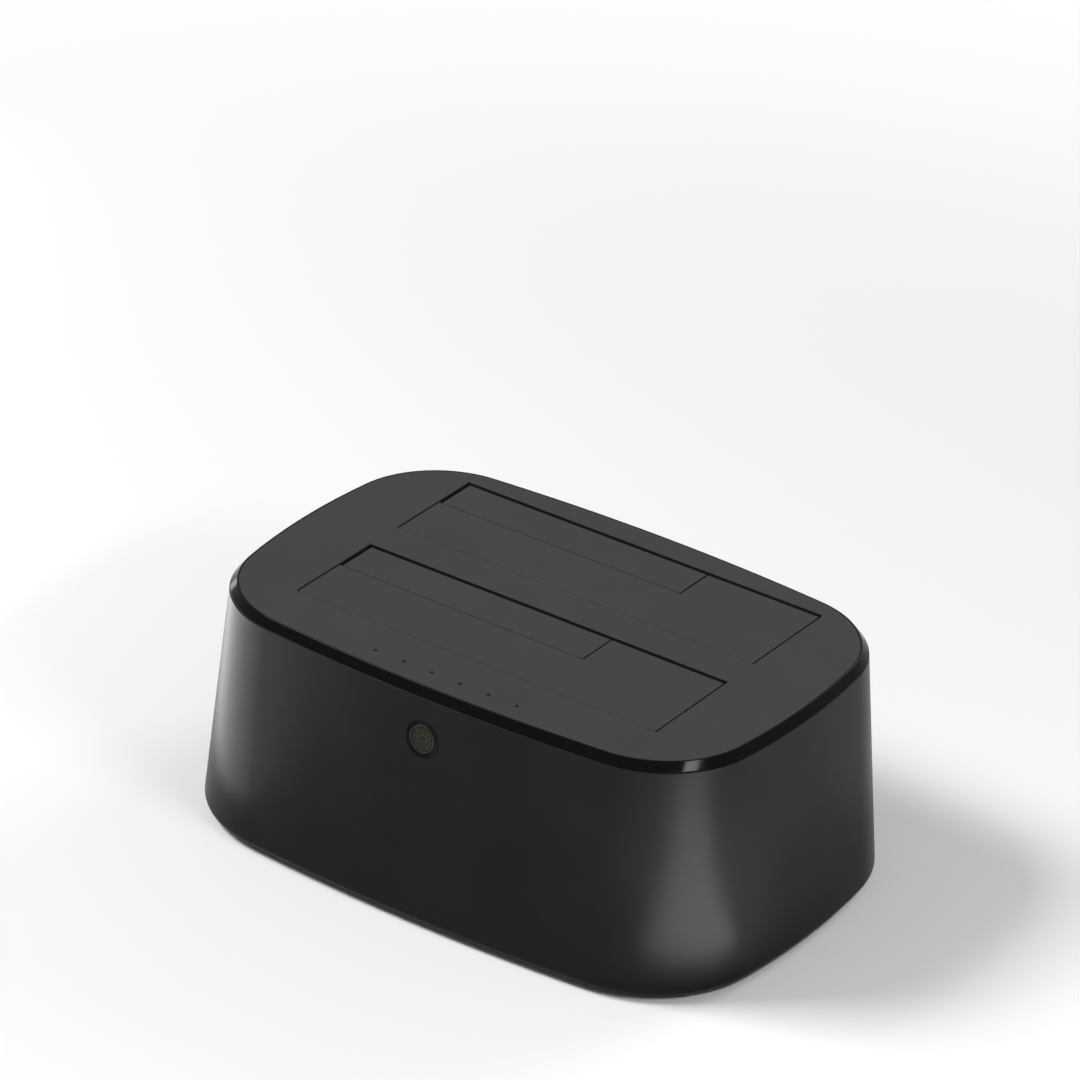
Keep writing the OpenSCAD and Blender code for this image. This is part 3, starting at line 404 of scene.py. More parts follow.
def draw_out(name: str, section: list[Point], axis: Axis, start: float, end: float) -> Piece:
    """Draws a closed section out along an axis, from a start to an end in millimetres."""
    return loft(name, [[axis.point(u, v, along) for u, v in section] for along in (start, end)])


def circle(centre: Vector, radius: float, across: Vector, up: Vector, sides: int = ROUND_SIDES) -> Ring:
    """Lists points round a circle in the plane of two unit vectors that are square to each other."""
    angles = [math.tau * k / sides for k in range(sides)]
    return [centre + radius * (math.cos(a) * across + math.sin(a) * up) for a in angles]


def upright(name: str, x: float, y: float, profile: list[Point], sides: int = ROUND_SIDES) -> Piece:
    """Turns a profile of radii and heights about an upright axis."""
    return loft(name, [circle(Vector((x, y, z)), r, X_AXIS, Y_AXIS, sides) for r, z in profile])


def carve(piece: Piece, tools: list[Piece], operation: str = "DIFFERENCE") -> None:
    """Cuts tools out of a piece, or joins them to it, and removes the tools.

    Args:
        piece: The piece that stays.
        tools: Closed meshes.
        operation: Name of the boolean operation.
    """
    for tool in tools:
        step = piece.modifiers.new("carve", "BOOLEAN")
        step.operation, step.solver, step.object = operation, "EXACT", tool
    graph = bpy.context.evaluated_depsgraph_get()
    made = bpy.data.meshes.new_from_object(piece.evaluated_get(graph))
    piece.modifiers.clear()
    piece.data = made
    for tool in tools:
        bpy.data.objects.remove(tool)
    shade(piece)


def place(piece: Piece, finish: Finish, nodes: tuple[str, ...],
          body: str | None = CHASSIS) -> None:
    """Gives a piece its finish, its body and the solids that it stands for.

    Args:
        piece: The finished piece.
        finish: Its finish.
        nodes: Names of the solids that it replaces.
        body: The body that it rides on, or None to leave it on no body.
    """
    finish.cover(piece)
    if body is not None:
        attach(piece, body)
    piece.modifiers.new("even", "WEIGHTED_NORMAL").keep_sharp = True
    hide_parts(*nodes)
    log.info("built %s in %s with %d faces", piece.name, finish.name, len(piece.data.polygons))


def dress(node: str, finish: Finish, soften: float = 0.0) -> None:
    """Gives a solid that stays in view its finish, and softens its edges.

    Args:
        node: Name of the solid.
        finish: Its finish.
        soften: Width of the softened edges in millimetres, or 0.
    """
    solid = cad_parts[node]
    finish.cover(solid)
    if soften > 0:
        weld = solid.modifiers.new("weld", "WELD")
        weld.merge_threshold = WELD_REACH
        edge = solid.modifiers.new("soften", "BEVEL")
        edge.limit_method, edge.angle_limit = "ANGLE", SMOOTH_ANGLE
        edge.width, edge.segments, edge.harden_normals = soften * MM, EDGE_SEGMENTS, True
    log.info("dressed %s in %s", node, finish.name)


@dataclass(frozen=True)
class Outline:
    """Plan of the housing at its foot: four bowed sides joined by round corners, in millimetres."""

    half_length: float
    half_depth: float
    front_bow: float = 527.0
    end_bow: float = 182.0
    corner_round: float = 32.0
    steps: int = 40

    def arcs(self) -> list[tuple[float, float, float, float, float]]:
        """Lists the eight arcs of the plan, anticlockwise from the right end.

        Returns:
            Each arc's centre, radius, first angle and turn, with angles in radians.
        """
        end_x = self.half_length - self.end_bow
        bow_y = self.front_bow - self.half_depth
        to_bow, to_end = self.front_bow - self.corner_round, self.end_bow - self.corner_round
        span = math.hypot(end_x, bow_y)
        along = (to_bow ** 2 - to_end ** 2 + span ** 2) / (2 * span)
        off = math.sqrt(to_bow ** 2 - along ** 2)
        corner_x = (end_x * along + bow_y * off) / span
        corner_y = -bow_y + (bow_y * along - end_x * off) / span
        end_half = math.atan2(corner_y, corner_x - end_x)
        bow_half = math.atan2(corner_x, corner_y + bow_y)
        turn = math.pi / 2 - end_half - bow_half
        rows = []
        for side in (0, 1):
            sign, base = 1 - 2 * side, math.pi * side
            square = base + math.pi / 2
            rows.append((sign * end_x, 0.0, self.end_bow, base - end_half, 2 * end_half))
            rows.append((sign * corner_x, sign * corner_y, self.corner_round, base + end_half, turn))
            rows.append((0.0, -sign * bow_y, self.front_bow, square - bow_half, 2 * bow_half))
            rows.append((-sign * corner_x, sign * corner_y, self.corner_round, square + bow_half, turn))
        return rows

    def ring(self, inset: float, z: float) -> Ring:
        """Lists points round the plan, drawn in by an inset.

        Args:
            inset: Distance inwards from the foot outline.
            z: Height of the ring.

        Returns:
            The ring of points.
        """
        points = []
        for x, y, radius, first, turn in self.arcs():
            for k in range(self.steps):
                angle = first + turn * k / self.steps
                reach = radius - inset
                points.append(Vector((x + reach * math.cos(angle), y + reach * math.sin(angle), z)))
        return points


@dataclass(frozen=True)
class Casing:
    """Housing sleeve, polished rim and deck, with the base that closes them. Sizes are in millimetres."""

    outline: Outline
    bottom: float
    top: float
    lean: float = 5.1
    wall: float = 2.2
    foot_round: float = 2.0
    foot_flat: float = 0.2
    edge_round: float = 0.18
    rim_height: float = 2.2
    rim_slope: float = 1.8
    rim_edge: float = 0.3
    rim_flange: float = 1.6
    rim_rounds: tuple[float, float, float] = (0.2, 0.3, 0.1)
    lip: float = 1.1
    deck_thick: float = 2.0
    deck_gap: float = 0.08
    deck_round: float = 0.15
    ledge: float = 1.4
    ledge_thick: float = 1.6
    low_ledge: float = 2.0
    plate_thick: float = 2.2
    slide_gap: float = 0.15
    port_gap: float = 0.3
    port_round: float = 0.5
    button_hole: float = 4.8
    post_radius: float = 3.2
    post_bore: float = 1.3
    post_bore_depth: float = 11.0
    boss_radius: float = 2.4
    boss_bore: float = 1.2
    boss_length: float = 5.0
    boss_end: float = 0.6
    tube_round: float = 0.25
    screw_head: float = 2.7
    liner_head: float = 2.2
    liner_wall: float = 1.4
    flap_gap: float = 0.4
    bay_width: float = 29.6
    mouth_corner: float = 0.4
    mouth_round: float = 0.25
    foot_steps: int = 8
    rim_steps: int = 5
    deck_steps: int = 3
    mouth_steps: int = 4
    longest_edge: float = 5.0
    led_sides: int = 32
    led_count: int = 6
    led_half: float = 1.1
    led_hole: float = 0.5
    led_sink: float = 0.06
    past: float = 1.0

    @property
    def wall_top(self) -> float:
        """Height of the wall's upper edge."""
        return self.top - self.rim_height

    @property
    def lean_rate(self) -> float:
        """Lean of the wall for each millimetre of height."""
        return self.lean / (self.wall_top - self.bottom)

    @property
    def deck_inset(self) -> float:
        """Inset of the rim's inner edge."""
        return self.lean + self.rim_slope + self.rim_edge

    @property
    def deck_under(self) -> float:
        """Height of the deck's underside."""
        return self.top - self.deck_thick

    @property
    def rim_low(self) -> float:
        """Height of the rim's flange."""
        return self.deck_under - self.rim_flange

    @property
    def shelf(self) -> float:
        """Inset of the shelf that carries the rim and the deck."""
        return self.deck_inset + self.ledge

    def inset_at(self, z: float) -> float:
        """Gives the inset of the wall's outer face at a height."""
        return (z - self.bottom) * self.lean_rate

    def swept(self, name: str, corners: list[tuple[float, float, float]], steps: int) -> Piece:
        """Carries a closed section round the plan, with its long edges divided.

        Args:
            name: Name of the piece.
            corners: Inset, height and rounding of each corner of the section.
            steps: Stretches along each rounding.

        Returns:
            The new object.
        """
        section = rounded([corner[:2] for corner in corners], [corner[2] for corner in corners], steps)
        rings = []
        for point, after in zip(section, section[1:] + section[:1]):
            here, there = Vector(point), Vector(after)
            count = max(1, math.ceil((there - here).length / self.longest_edge))
            rings += [self.outline.ring(*here.lerp(there, k / count)) for k in range(count)]
        return loft(name, rings, closed=True)

    def build_housing(self) -> None:
        """Builds the sleeve with its foot rounding, its inner ledges and its openings."""
        shelf_low = self.rim_low - self.ledge_thick
        plate_top = self.bottom + self.plate_thick
        ledge_top = plate_top + self.ledge_thick
        round_in = self.foot_round * (self.lean_rate + math.hypot(1, self.lean_rate))
        foot_wall = max(self.wall, round_in + self.foot_flat)
        piece = self.swept("housing_shell", [
            (0.0, self.bottom, self.foot_round),
            (self.lean, self.wall_top, self.edge_round),
            (self.lean + self.lip, self.wall_top, self.edge_round),
            (self.lean + self.lip, self.rim_low, 0),
            (self.shelf, self.rim_low, 0),
            (self.shelf, shelf_low, 0),
            (self.wall + self.inset_at(shelf_low), shelf_low, 0),
            (self.wall + self.inset_at(ledge_top), ledge_top, 0),
            (foot_wall + self.low_ledge, ledge_top, 0),
            (foot_wall + self.low_ledge, plate_top, 0),
            (foot_wall, plate_top, 0),
            (foot_wall, self.bottom, 0),
        ], self.foot_steps)
        low, high = box_mm("button_bezel")
        middles = [Vector((0, y, (low.z + high.z) / 2)) for y in (low.y - self.past, high.y)]
        hole = [circle(middle, self.button_hole, X_AXIS, Z_AXIS) for middle in middles]
        ports = [self.port(node) for node in ("usb_socket", "dc_jack", "switch_body")]
        carve(piece, [loft("button_hole", hole), *ports])
        place(piece, MOULDED_ABS, ("housing",))

    def port(self, node: str) -> Piece:
        """Builds the cutter of the opening round a socket at the back.

        Args:
            node: Name of the socket.

        Returns:
            The cutter.
        """
        low, high = box_mm(node)
        x0, x1 = low.x - self.port_gap, high.x + self.port_gap
        z0, z1 = low.z - self.port_gap, high.z + self.port_gap
        section = rounded([(x0, z0), (x1, z0), (x1, z1), (x0, z1)], [self.port_round] * 4)
        return draw_out("port", section, Axis.Y, high.y - self.wall - 2 * self.past,
                        self.outline.half_depth + self.past)

    def build_rim(self) -> None:
        """Builds the polished ring that slopes up to the deck."""
        rebate = self.lean + self.lip + self.slide_gap
        low_round, high_round, inner_round = self.rim_rounds
        piece = self.swept("gloss_rim_ring", [
            (rebate, self.rim_low, 0),
            (rebate, self.wall_top, 0),
            (self.lean, self.wall_top, low_round),
            (self.lean + self.rim_slope, self.top, high_round),
            (self.deck_inset, self.top, inner_round),
            (self.deck_inset, self.deck_under, 0),
            (self.shelf, self.deck_under, 0),
            (self.shelf, self.rim_low, 0),
        ], self.rim_steps)
        place(piece, POLISHED_ABS, ("gloss_rim",))

    def build_deck(self) -> None:
        """Builds the deck with its bay mouths, indicator holes, posts and bosses."""
        inset = self.deck_inset + self.deck_gap
        shoulder = self.top - self.deck_round
        edge = quarter_round(self.deck_round, self.deck_round, self.deck_steps)
        profile = [(inset, self.deck_under)] + [(inset + across, shoulder + up) for across, up in edge]
        piece = loft("top_deck_plate", [self.outline.ring(i, z) for i, z in profile])
        carve(piece, self.deck_tubes(), "UNION")
        carve(piece, [self.mouth(which) for which in BAYS] + self.indicator_holes())
        place(piece, DECK_ABS, ("top_deck",))

    def tube(self, radius: float, bore: float, low: float, bore_top: float) -> list[Point]:
        """Gives the profile of a tube that hangs from the deck, with a rounded end and a blind bore."""
        return [(radius, self.deck_under + self.deck_thick / 2), (radius, low + self.tube_round),
                (radius - self.tube_round, low), (bore, low), (bore, bore_top)]

    def deck_tubes(self) -> list[Piece]:
        """Builds the tubes under the deck that the base screws and the liner screws draw on.

        Returns:
            The posts and bosses, not yet joined to the deck.
        """
        high = box_mm("base_screws")[1]
        liner_low, liner_high = box_mm("liner_screws")
        post_low = box_mm("top_deck")[0].z
        boss_low = self.deck_under - self.boss_length
        post_x, post_y = high.x - self.screw_head, high.y - self.screw_head
        boss_x = liner_high.x - self.liner_head
        boss_ys = (liner_low.y + self.liner_head, liner_high.y - self.liner_head)
        post = self.tube(self.post_radius, self.post_bore, post_low, post_low + self.post_bore_depth)
        boss = self.tube(self.boss_radius, self.boss_bore, boss_low, self.deck_under - self.boss_end)
        posts = [upright("post", sx * post_x, sy * post_y, post) for sx in (-1, 1) for sy in (-1, 1)]
        return posts + [upright("boss", sx * boss_x, y, boss) for sx in (-1, 1) for y in boss_ys]

    def mouth(self, which: str) -> Piece:
        """Builds the cutter of a bay's mouth, flared so that the deck's edge comes out rounded.

        Args:
            which: Name of the bay.

        Returns:
            The cutter.
        """
        half_x = box_mm(f"{which}_flap")[1].x + self.flap_gap
        half_y = self.bay_width / 2
        middle = box_mm(f"{which}_bay_liner")[1].y - self.liner_wall - half_y
        shoulder = self.top - self.mouth_round
        flare = quarter_round(self.mouth_round, self.mouth_round, self.mouth_steps)
        rows = [(0.0, self.deck_under - self.past), *((grow, shoulder + up) for grow, up in flare),
                (self.mouth_round, self.top + self.past)]
        rings = []
        for grow, z in rows:
            x, y = half_x + grow, half_y + grow
            plan = rounded([(-x, -y), (x, -y), (x, y), (-x, y)], [self.mouth_corner + grow] * 4)
            rings.append([Vector((px, middle + py, z)) for px, py in plan])
        return loft("mouth", rings)

    def indicator_holes(self) -> list[Piece]:
        """Builds the cutters of the indicator holes, each with a small countersink.

        Returns:
            The cutters.
        """
        low, high = box_mm("indicator_leds")
        first = low.x + self.led_half
        step = (high.x - self.led_half - first) / (self.led_count - 1)
        wide = self.led_hole + self.led_sink
        profile = [(self.led_hole, self.deck_under - self.past), (self.led_hole, self.top - self.led_sink),
                   (wide, self.top), (wide, self.top + self.past)]
        return [upright("hole", first + step * i, (low.y + high.y) / 2, profile, self.led_sides)
                for i in range(self.led_count)]

    def build(self) -> None:
        """Builds the casing from the outside in and dresses the base that closes it."""
        self.build_housing()
        self.build_rim()
        self.build_deck()
        dress("base_plate", MOULDED_ABS)
        dress("rubber_feet", RUBBER)
        dress("base_screws", ZINC_STEEL)


@dataclass(frozen=True)
class TorsionSpring:
    """Wound spring about a hinge pin, with a leg to the front and a leg under the flap, in millimetres."""

    radius: float
    wire: float
    front: float
    tip: Point
    space: float = 0.55
    turns: int = 5
    steps: int = 28
    sides: int = 12

    @property
    def half(self) -> float:
        """Half of the coil's length."""
        return self.turns * (2 * self.wire + self.space) / 2

    def path(self, middle: Vector) -> Ring:
        """Lists points along the wire.

        Args:
            middle: Middle of the coil, on the hinge axis.

        Returns:
            The points, from the front leg to the flap's leg.
        """
        reach = math.hypot(*self.tip)
        end = math.atan2(self.tip[1], self.tip[0]) + math.acos(self.radius / reach)
        turned = math.tau * self.turns + math.pi / 2 - end
        count = self.turns * self.steps
        points = [Vector((-self.half, self.front, self.radius))]
        for i in range(count + 1):
            angle = math.pi / 2 - turned * i / count
            points.append(Vector(((2 * i / count - 1) * self.half, self.radius * math.cos(angle),
                                  self.radius * math.sin(angle))))
        points.append(Vector((self.half, *self.tip)))
        return [middle + point for point in points]

    def build(self, name: str, middle: Vector, node: str, bodies: tuple[str, str]) -> None:
        """Builds the spring in place, riding on no body.

        Args:
            name: Name of the piece.
            middle: Middle of the coil, on the hinge axis.
            node: Name of the solid that it stands for.
            bodies: Not used; names the body that holds the front leg and the body that the other leg follows.
        """
        path = self.path(middle)
        rings = []
        for last, point, after in zip(path[:1] + path, path, path[1:] + path[-1:]):
            along = (after - last).normalized()
            across = (X_AXIS - along.x * along).normalized()
            rings.append(circle(point, self.wire, across, along.cross(across), self.sides))
        piece = loft(name, rings)
        place(piece, SPRING_STEEL, (node,), None)
        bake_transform(piece)


@dataclass(frozen=True)
class Bay:
    """One bay: its well, its flaps with their pins and springs, and the socket at its foot."""

    which: str
    edge_round: float = 0.15
    large_spring: TorsionSpring = TorsionSpring(radius=1.35, wire=0.25, front=-2.3, tip=(8.0, 2.2))
    small_spring: TorsionSpring = TorsionSpring(radius=0.82, wire=0.2, front=-5.0, tip=(5.0, 0.95))

    def build_springs(self) -> None:
        """Builds the springs of both flaps, wound finely enough to look round."""
        large, small = f"{self.which}_flap", f"{self.which}_small_flap"
        pair, single = f"{self.which}_flap_springs", f"{self.which}_small_spring"
        axis = middle_mm(f"{self.which}_flap_pin")
        low, high = box_mm(pair)
        coil = self.large_spring.half + self.large_spring.wire
        for side, x in (("left", low.x + coil), ("right", high.x - coil)):
            self.large_spring.build(f"{pair}_{side}", Vector((x, axis.y, axis.z)), pair, (CHASSIS, large))
        axis = middle_mm(f"{self.which}_small_pin")
        axis.x = middle_mm(single).x
        self.small_spring.build(f"{single}_coil", axis, single, (large, small))

    def build(self) -> None:
        """Builds the springs and dresses the solids of the bay."""
        self.build_springs()
        for flap in ("flap", "small_flap"):
            dress(f"{self.which}_{flap}", DECK_ABS, self.edge_round)
        for part, finish in (("bay_liner", LINER_ABS_PAINTED_SHADE), ("flap_pin", DRAWN_STEEL), ("small_pin", DRAWN_STEEL),
                             ("sata_socket", CONNECTOR_LCP), ("sata_contacts", GOLD_CONTACT)):
            dress(f"{self.which}_{part}", finish)


@dataclass(frozen=True)
class FrontButton:
    """Round push button in its dark ring, with the switch behind it. Sizes are in millimetres."""

    casing: Casing
    radius: float = 3.6
    bezel_in: float = 3.7
    bezel_out: float = 4.75
    bezel_flange: float = 1.2
    bezel_flange_thick: float = 1.1
    flange_radius: float = 4.6
    flange_thick: float = 1.0
    flange_gap: float = 0.2
    stem_radius: float = 1.6
    proud: float = 0.1
    bezel_proud: float = 0.06
    bezel_slope: float = 0.2
    ring_width: float = 0.5
    ring_sink: float = 0.16
    relief: float = 0.1
    stroke: float = 0.95
    stroke_width: float = 0.22
    sides: int = 180
    face_rings: int = 44
    bezel_steps: int = 4
    bezel_edge: float = 0.25
    ring_steps: int = 8

    def turned(self, name: str, centre: Vector, profile: list[tuple[float, float, bool]],
               closed: bool = False) -> Piece:
        """Turns a profile about the button's axis; points on the face lean with the housing's wall.

        Args:
            name: Name of the piece.
            centre: Where the axis meets the housing's face.
            profile: Radius, depth behind the face and whether the point leans, for each ring.
            closed: Whether the last ring joins the first, which leaves a bore.

        Returns:
            The new object.
        """
        rings = []
        for radius, depth, leans in profile:
            ring = circle(centre + depth * Y_AXIS, radius, X_AXIS, Z_AXIS, self.sides)
            for point in ring if leans else []:
                point.y += (point.z - centre.z) * self.casing.lean_rate
            rings.append(ring)
        return loft(name, rings, closed)

    def build_bezel(self, centre: Vector, back: float) -> None:
        """Builds the ring, which slopes in towards the button.

        Args:
            centre: Where the button's axis meets the housing's face.
            back: Depth of the ring's back behind the face.
        """
        flange = self.bezel_out + self.bezel_flange
        edge = (self.bezel_out - self.bezel_in) * self.bezel_edge
        profile = [(self.bezel_in, back, False), (flange, back, False),
                   (flange, back - self.bezel_flange_thick, False),
                   (self.bezel_out, back - self.bezel_flange_thick, False), (self.bezel_out, 0.0, True)]
        for across, up in quarter_round(edge, self.bezel_proud, self.bezel_steps):
            profile.append((self.bezel_out - across, -up, True))
        profile.append((self.bezel_in + edge, self.bezel_slope - self.bezel_proud, True))
        profile.append((self.bezel_in, self.bezel_slope, True))
        piece = self.turned("button_bezel_ring", centre, profile, closed=True)
        place(piece, BEZEL_ABS, ("button_bezel",))

    def relief_at(self, x: float, z: float) -> float:
        """Gives the height of the fine strokes at a place on the face, from 0 to 1."""
        level = noise.noise(Vector((x / self.stroke, z / self.stroke, self.radius)))
        return max(0.0, 1 - (level / self.stroke_width) ** 2) ** 2

    def build_button(self, centre: Vector, flange: float, end: float) -> None:
        """Builds the button: stem, flange, skirt, smooth rim and a face with fine raised strokes.

        Args:
            centre: Where the button's axis meets the housing's face.
            flange: Depth of the flange's front behind the face.
            end: Depth of the stem's end behind the face.
        """
        profile = [(self.stem_radius, end, False), (self.stem_radius, flange + self.flange_thick, False),
                   (self.flange_radius, flange + self.flange_thick, False),
                   (self.flange_radius, flange, False),
                   (self.radius, flange, False), (self.radius, self.ring_sink, True)]
        half = self.ring_width / 2
        for k in range(1, self.ring_steps + 1):
            angle = math.pi * k / self.ring_steps
            profile.append((self.radius - half * (1 - math.cos(angle)),
                            self.ring_sink - (self.ring_sink + self.proud) * math.sin(angle), True))
        inner = self.radius - self.ring_width
        for k in range(1, self.face_rings):
            profile.append((inner * (1 - k / self.face_rings), self.ring_sink, True))
        piece = self.turned("clone_button_cap", centre, profile)
        for vertex in piece.data.vertices:
            x, z = vertex.co.x / MM - centre.x, vertex.co.z / MM - centre.z
            fade = min(1.0, max(0.0, (inner - math.hypot(x, z)) / self.stroke_width))
            if vertex.co.y / MM - centre.y < flange / 2:
                vertex.co.y -= self.relief * self.relief_at(x, z) * fade * MM
        shade(piece)
        place(piece, BUTTON_ABS, ("clone_button",), "clone_button")

    def build(self) -> None:
        """Builds the button and its ring, and dresses the switch and the board behind them."""
        height = middle_mm("button_bezel").z
        face = self.casing.inset_at(height) - self.casing.outline.half_depth
        centre = Vector((0, face, height))
        back = box_mm("button_bezel")[1].y - face
        self.build_bezel(centre, back)
        self.build_button(centre, back + self.flange_gap, box_mm("clone_button")[1].y - face)
        dress("tact_switch", CONNECTOR_LCP)
        dress("tact_plunger", ACETAL)
        dress("front_board", SOLDER_MASK)
        dress("front_board_screws", ZINC_STEEL)


@dataclass(frozen=True)
class RearPanel:
    """Sockets and power switch in the back wall. Sizes are in millimetres."""

    rocker_half: float = 4.5
    rocker_width: float = 8.0
    rocker_rest: float = 7.0
    rocker_crest: float = 2.0
    rocker_depth: float = 1.6
    rocker_root: float = 2.0
    rocker_shoulder: float = 0.5
    rocker_round: float = 0.3
    rocker_steps: int = 6
    axle_radius: float = 0.8

    def build_rocker(self) -> None:
        """Builds the rocker with a hollow face, rounded edges and its two stub axles."""
        low, high = box_mm("switch_rocker")
        axis_z = middle_mm("switch_body").z
        tilt = math.radians(self.rocker_rest)
        end = self.rocker_crest + self.rocker_half * math.tan(tilt)
        axis_y = high.y - (end * math.cos(tilt) + self.rocker_half * math.sin(tilt))
        shares = [k / self.rocker_steps for k in range(-self.rocker_steps, self.rocker_steps + 1)]
        face = [(self.rocker_crest + (end - self.rocker_crest) * share ** 2, self.rocker_half * share)
                for share in shares]
        section = face + [(-self.rocker_shoulder, self.rocker_half), (-self.rocker_depth, self.rocker_root),
                          (-self.rocker_depth, -self.rocker_root),
                          (-self.rocker_shoulder, -self.rocker_half)]
        middle = (low.x + high.x) / 2
        half = self.rocker_width / 2
        turned = [(axis_y + y * math.cos(tilt) + z * math.sin(tilt),
                   axis_z + z * math.cos(tilt) - y * math.sin(tilt)) for y, z in section]
        piece = draw_out("switch_rocker_cap", turned, Axis.X, middle - half, middle + half)
        soften_edges(piece, self.rocker_round)
        place(piece, ROCKER_NYLON, ("switch_rocker",), "power_rocker")
        axle = [circle(Vector((x, axis_y, axis_z)), self.axle_radius, Y_AXIS, Z_AXIS)
                for x in (low.x, high.x)]
        place(loft("switch_rocker_axle", axle), ROCKER_NYLON, ("switch_rocker",), "power_rocker")

    def build(self) -> None:
        """Builds the rocker and dresses the sockets."""
        self.build_rocker()
        dress("switch_body", CONNECTOR_LCP)
        dress("usb_socket", TIN_SHELL)
        dress("usb_tongue", BLUE_TONGUE)
        dress("dc_jack", CONNECTOR_LCP)
        dress("dc_jack_pin", TIN_SHELL)


@dataclass(frozen=True)
class Electronics:
    """Main board with its parts, the ribbon to the front board, the indicators and their light guide."""

    finishes: tuple[tuple[str, Finish], ...] = (
        ("main_board", SOLDER_MASK), ("board_screws", ZINC_STEEL), ("liner_screws", ZINC_STEEL),
        ("bridge_chip", EPOXY), ("memory_chip", EPOXY), ("crystal", NICKEL_CAN), ("power_inductors", FERRITE),
        ("capacitors", ALUMINIUM_CAN), ("ribbon_cable", PVC_RIBBON), ("ribbon_headers", NYLON),
        ("indicator_leds", LENS_EPOXY), ("light_guide", SMOKED_GUIDE),
    )

    def build(self) -> None:
        """Dresses the solids inside the housing."""
        for node, finish in self.finishes:
            dress(node, finish)


@dataclass(frozen=True)
class Lamp:
    """A rectangular softbox in metres and watts, turned by degrees about the line to its aim."""

    name: str
    middle: tuple[float, float, float]
    aim: tuple[float, float, float]
    size: tuple[float, float]
    watts: float
    turn: float = 0.0

    def build(self) -> None:
        """Hangs the lamp out of the camera's sight."""
        data = bpy.data.lights.new(self.name, "AREA")
        data.shape, data.size, data.size_y, data.energy = "RECTANGLE", self.size[0], self.size[1], self.watts
        lamp = bpy.data.objects.new(self.name, data)
        lamp.location = self.middle
        facing = (Vector(self.aim) - Vector(self.middle)).to_track_quat("-Z", "Y")
        lamp.rotation_euler = (facing @ Quaternion(Z_AXIS, math.radians(self.turn))).to_euler()
        lamp.visible_camera = False
        bpy.context.scene.collection.objects.link(lamp)


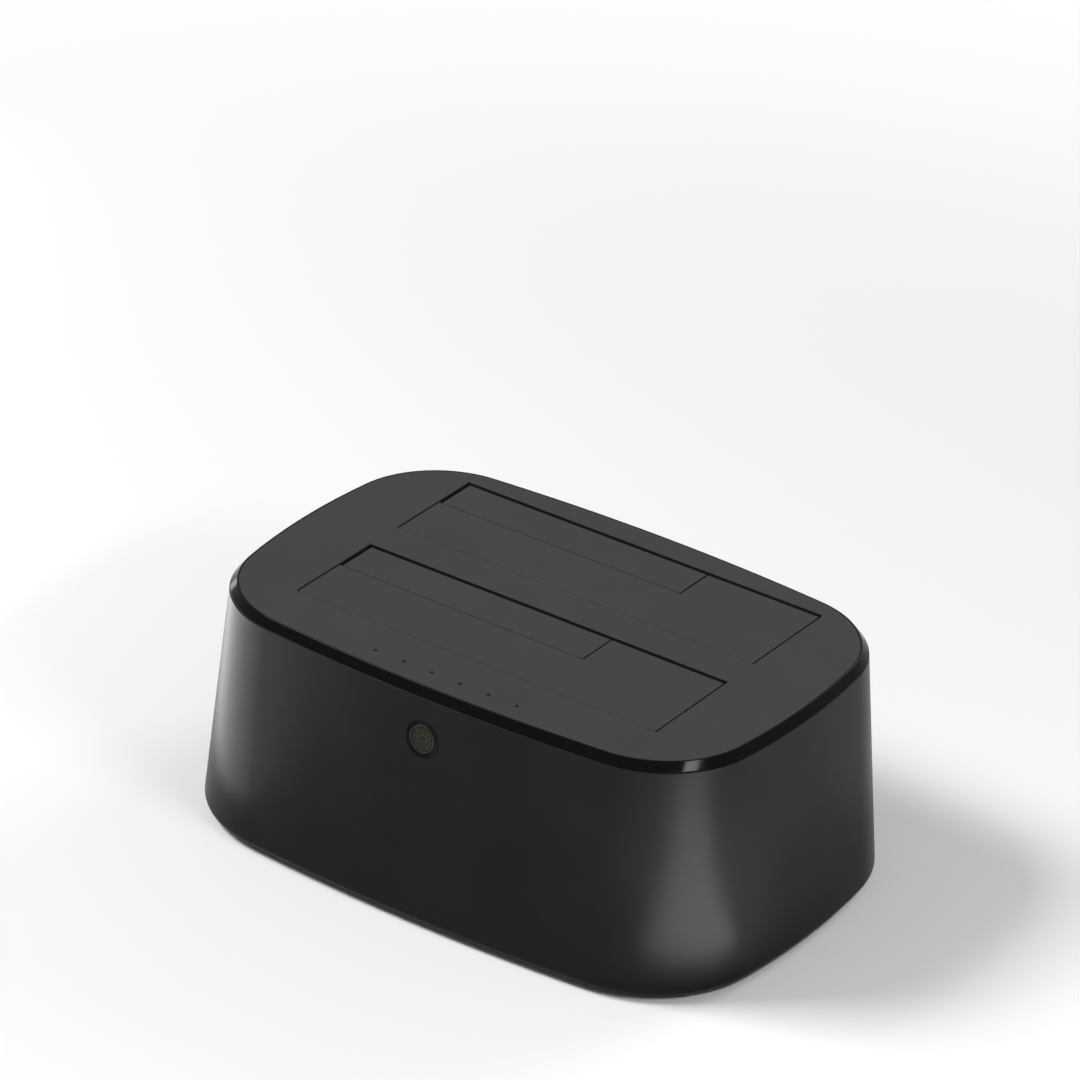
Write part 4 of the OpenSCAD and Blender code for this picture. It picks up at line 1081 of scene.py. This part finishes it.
@dataclass(frozen=True)
class Studio:
    """Camera at the photograph's angle, pale floor, white surround and soft lamps, in metres."""

    azimuth: float = 34.08
    elevation: float = 28.94
    roll: float = 2.67
    distance: float = 1.57697
    slide: tuple[float, float] = (0.00051, 0.06885)
    lift: float = 0.0012
    focal_pixels: float = 6560.47
    picture_pixels: float = 1080.0
    sensor: float = 36.0
    sight: float = 20.0
    ambient: float = 0.25
    floor_half: float = 3.0
    floor_grey: float = 0.85
    floor_clear: float = 0.24
    floor_fade: float = 0.3
    lamps: tuple[Lamp, ...] = (
        Lamp("key", (-0.68, -0.38, 0.92), (0, 0, 0.03), (0.4, 0.4), 12),
        Lamp("left_panel", (-0.197, -0.064, 0.004), (-0.197, -0.064, 1), (0.18, 0.2), 0.5, -47),
        Lamp("right_panel", (0.140, -0.068, 0.004), (0.140, -0.068, 1), (0.12, 0.06), 0.28, 22),
        Lamp("rim_box", (0.306, -0.113, 0.304), (0.066, -0.037, 0.06), (0.165, 0.03), 0.55, 11),
        Lamp("left_edge", (-0.42, 0.14, 0.03), (-0.07, -0.03, 0.05), (0.12, 0.04), 0.06),
        Lamp("back_fill", (0.25, 0.90, 0.55), (0, 0, 0.03), (0.4, 0.4), 3),
    )

    def build_camera(self) -> None:
        """Sets the camera at the photograph's viewing angle."""
        turn, rise, roll = (math.radians(v) for v in (self.azimuth, self.elevation, self.roll))
        view = Matrix.Rotation(turn, 4, "Z") @ Matrix.Rotation(math.pi / 2 - rise, 4, "X")
        view @= Matrix.Rotation(roll, 4, "Z")
        view.translation = view @ Vector((*self.slide, self.distance)) + self.lift * Z_AXIS
        data = bpy.data.cameras.new("camera")
        data.sensor_width = self.sensor
        data.lens = self.sensor * self.focal_pixels / self.picture_pixels
        data.clip_end = self.sight
        camera = bpy.data.objects.new("camera", data)
        camera.matrix_world = view
        bpy.context.scene.collection.objects.link(camera)
        bpy.context.scene.camera = camera

    def seen_rays(self, tree: bpy.types.NodeTree) -> bpy.types.NodeSocket:
        """Tells the rays that show the surround from those that only light the part.

        Args:
            tree: The node tree that takes the nodes.

        Returns:
            A socket that is 1 for camera, glossy and transmission rays.
        """
        path = add_node(tree, "ShaderNodeLightPath")
        seen = path.outputs["Is Camera Ray"]
        for ray in ("Is Glossy Ray", "Is Transmission Ray"):
            both = add_node(tree, "ShaderNodeMath", {"operation": "MAXIMUM"}, {0: seen, 1: path.outputs[ray]})
            seen = both.outputs[0]
        return seen

    def build_world(self) -> None:
        """Makes the surround white to the eye and dim as a light."""
        world = bpy.data.worlds.new("studio")
        world.use_nodes = True
        tree = world.node_tree
        tree.nodes.clear()
        strength = add_node(tree, "ShaderNodeMapRange", {"To Min": self.ambient, "To Max": 1.0},
                            {"Value": self.seen_rays(tree)})
        surround = add_node(tree, "ShaderNodeBackground", {"Color": linear(WHITE)},
                            {"Strength": strength.outputs["Result"]})
        add_node(tree, "ShaderNodeOutputWorld", {}, {"Surface": surround.outputs["Background"]})
        bpy.context.scene.world = world

    def build_floor(self) -> None:
        """Lays the pale floor, which takes the shadow near the part and runs out to white."""
        mesh = bmesh.new()
        bmesh.ops.create_grid(mesh, x_segments=1, y_segments=1, size=self.floor_half)
        floor = mesh_piece("floor", mesh)
        made = bpy.data.materials.new("studio_floor_painted")
        made.use_nodes = True
        tree = made.node_tree
        tree.nodes.clear()
        spot = add_node(tree, "ShaderNodeTexCoord")
        reach = add_node(tree, "ShaderNodeVectorMath", {"operation": "LENGTH"}, {0: spot.outputs["Object"]})
        far = add_node(tree, "ShaderNodeMapRange",
                       {"From Min": self.floor_clear, "From Max": self.floor_clear + self.floor_fade,
                        "interpolation_type": "SMOOTHSTEP"}, {"Value": reach.outputs["Value"]})
        mask = add_node(tree, "ShaderNodeMath", {"operation": "MULTIPLY"},
                        {0: far.outputs["Result"], 1: self.seen_rays(tree)})
        paint = add_node(tree, "ShaderNodeBsdfDiffuse", {"Color": (*[self.floor_grey] * 3, 1)})
        white = add_node(tree, "ShaderNodeEmission", {"Color": linear(WHITE), "Strength": 1.0})
        both = add_node(tree, "ShaderNodeMixShader", {},
                        {0: mask.outputs[0], 1: paint.outputs[0], 2: white.outputs[0]})
        add_node(tree, "ShaderNodeOutputMaterial", {}, {"Surface": both.outputs[0]})
        floor.data.materials.append(made)

    def build(self) -> None:
        """Sets up the camera, the surround, the floor and the lamps."""
        bpy.context.scene.view_settings.view_transform = "Standard"
        self.build_camera()
        self.build_world()
        self.build_floor()
        for lamp in self.lamps:
            lamp.build()


def main() -> None:
    """Builds the part's sub-assemblies in order, then the studio round them."""
    logging.basicConfig(level=logging.INFO, format="%(message)s")
    low, high = box_mm("housing")
    casing = Casing(Outline(high.x, high.y), low.z, box_mm("gloss_rim")[1].z)
    casing.build()
    for which in BAYS:
        Bay(which).build()
    FrontButton(casing).build()
    RearPanel().build()
    Electronics().build()
    Studio().build()


if __name__ == "__main__":
    main()
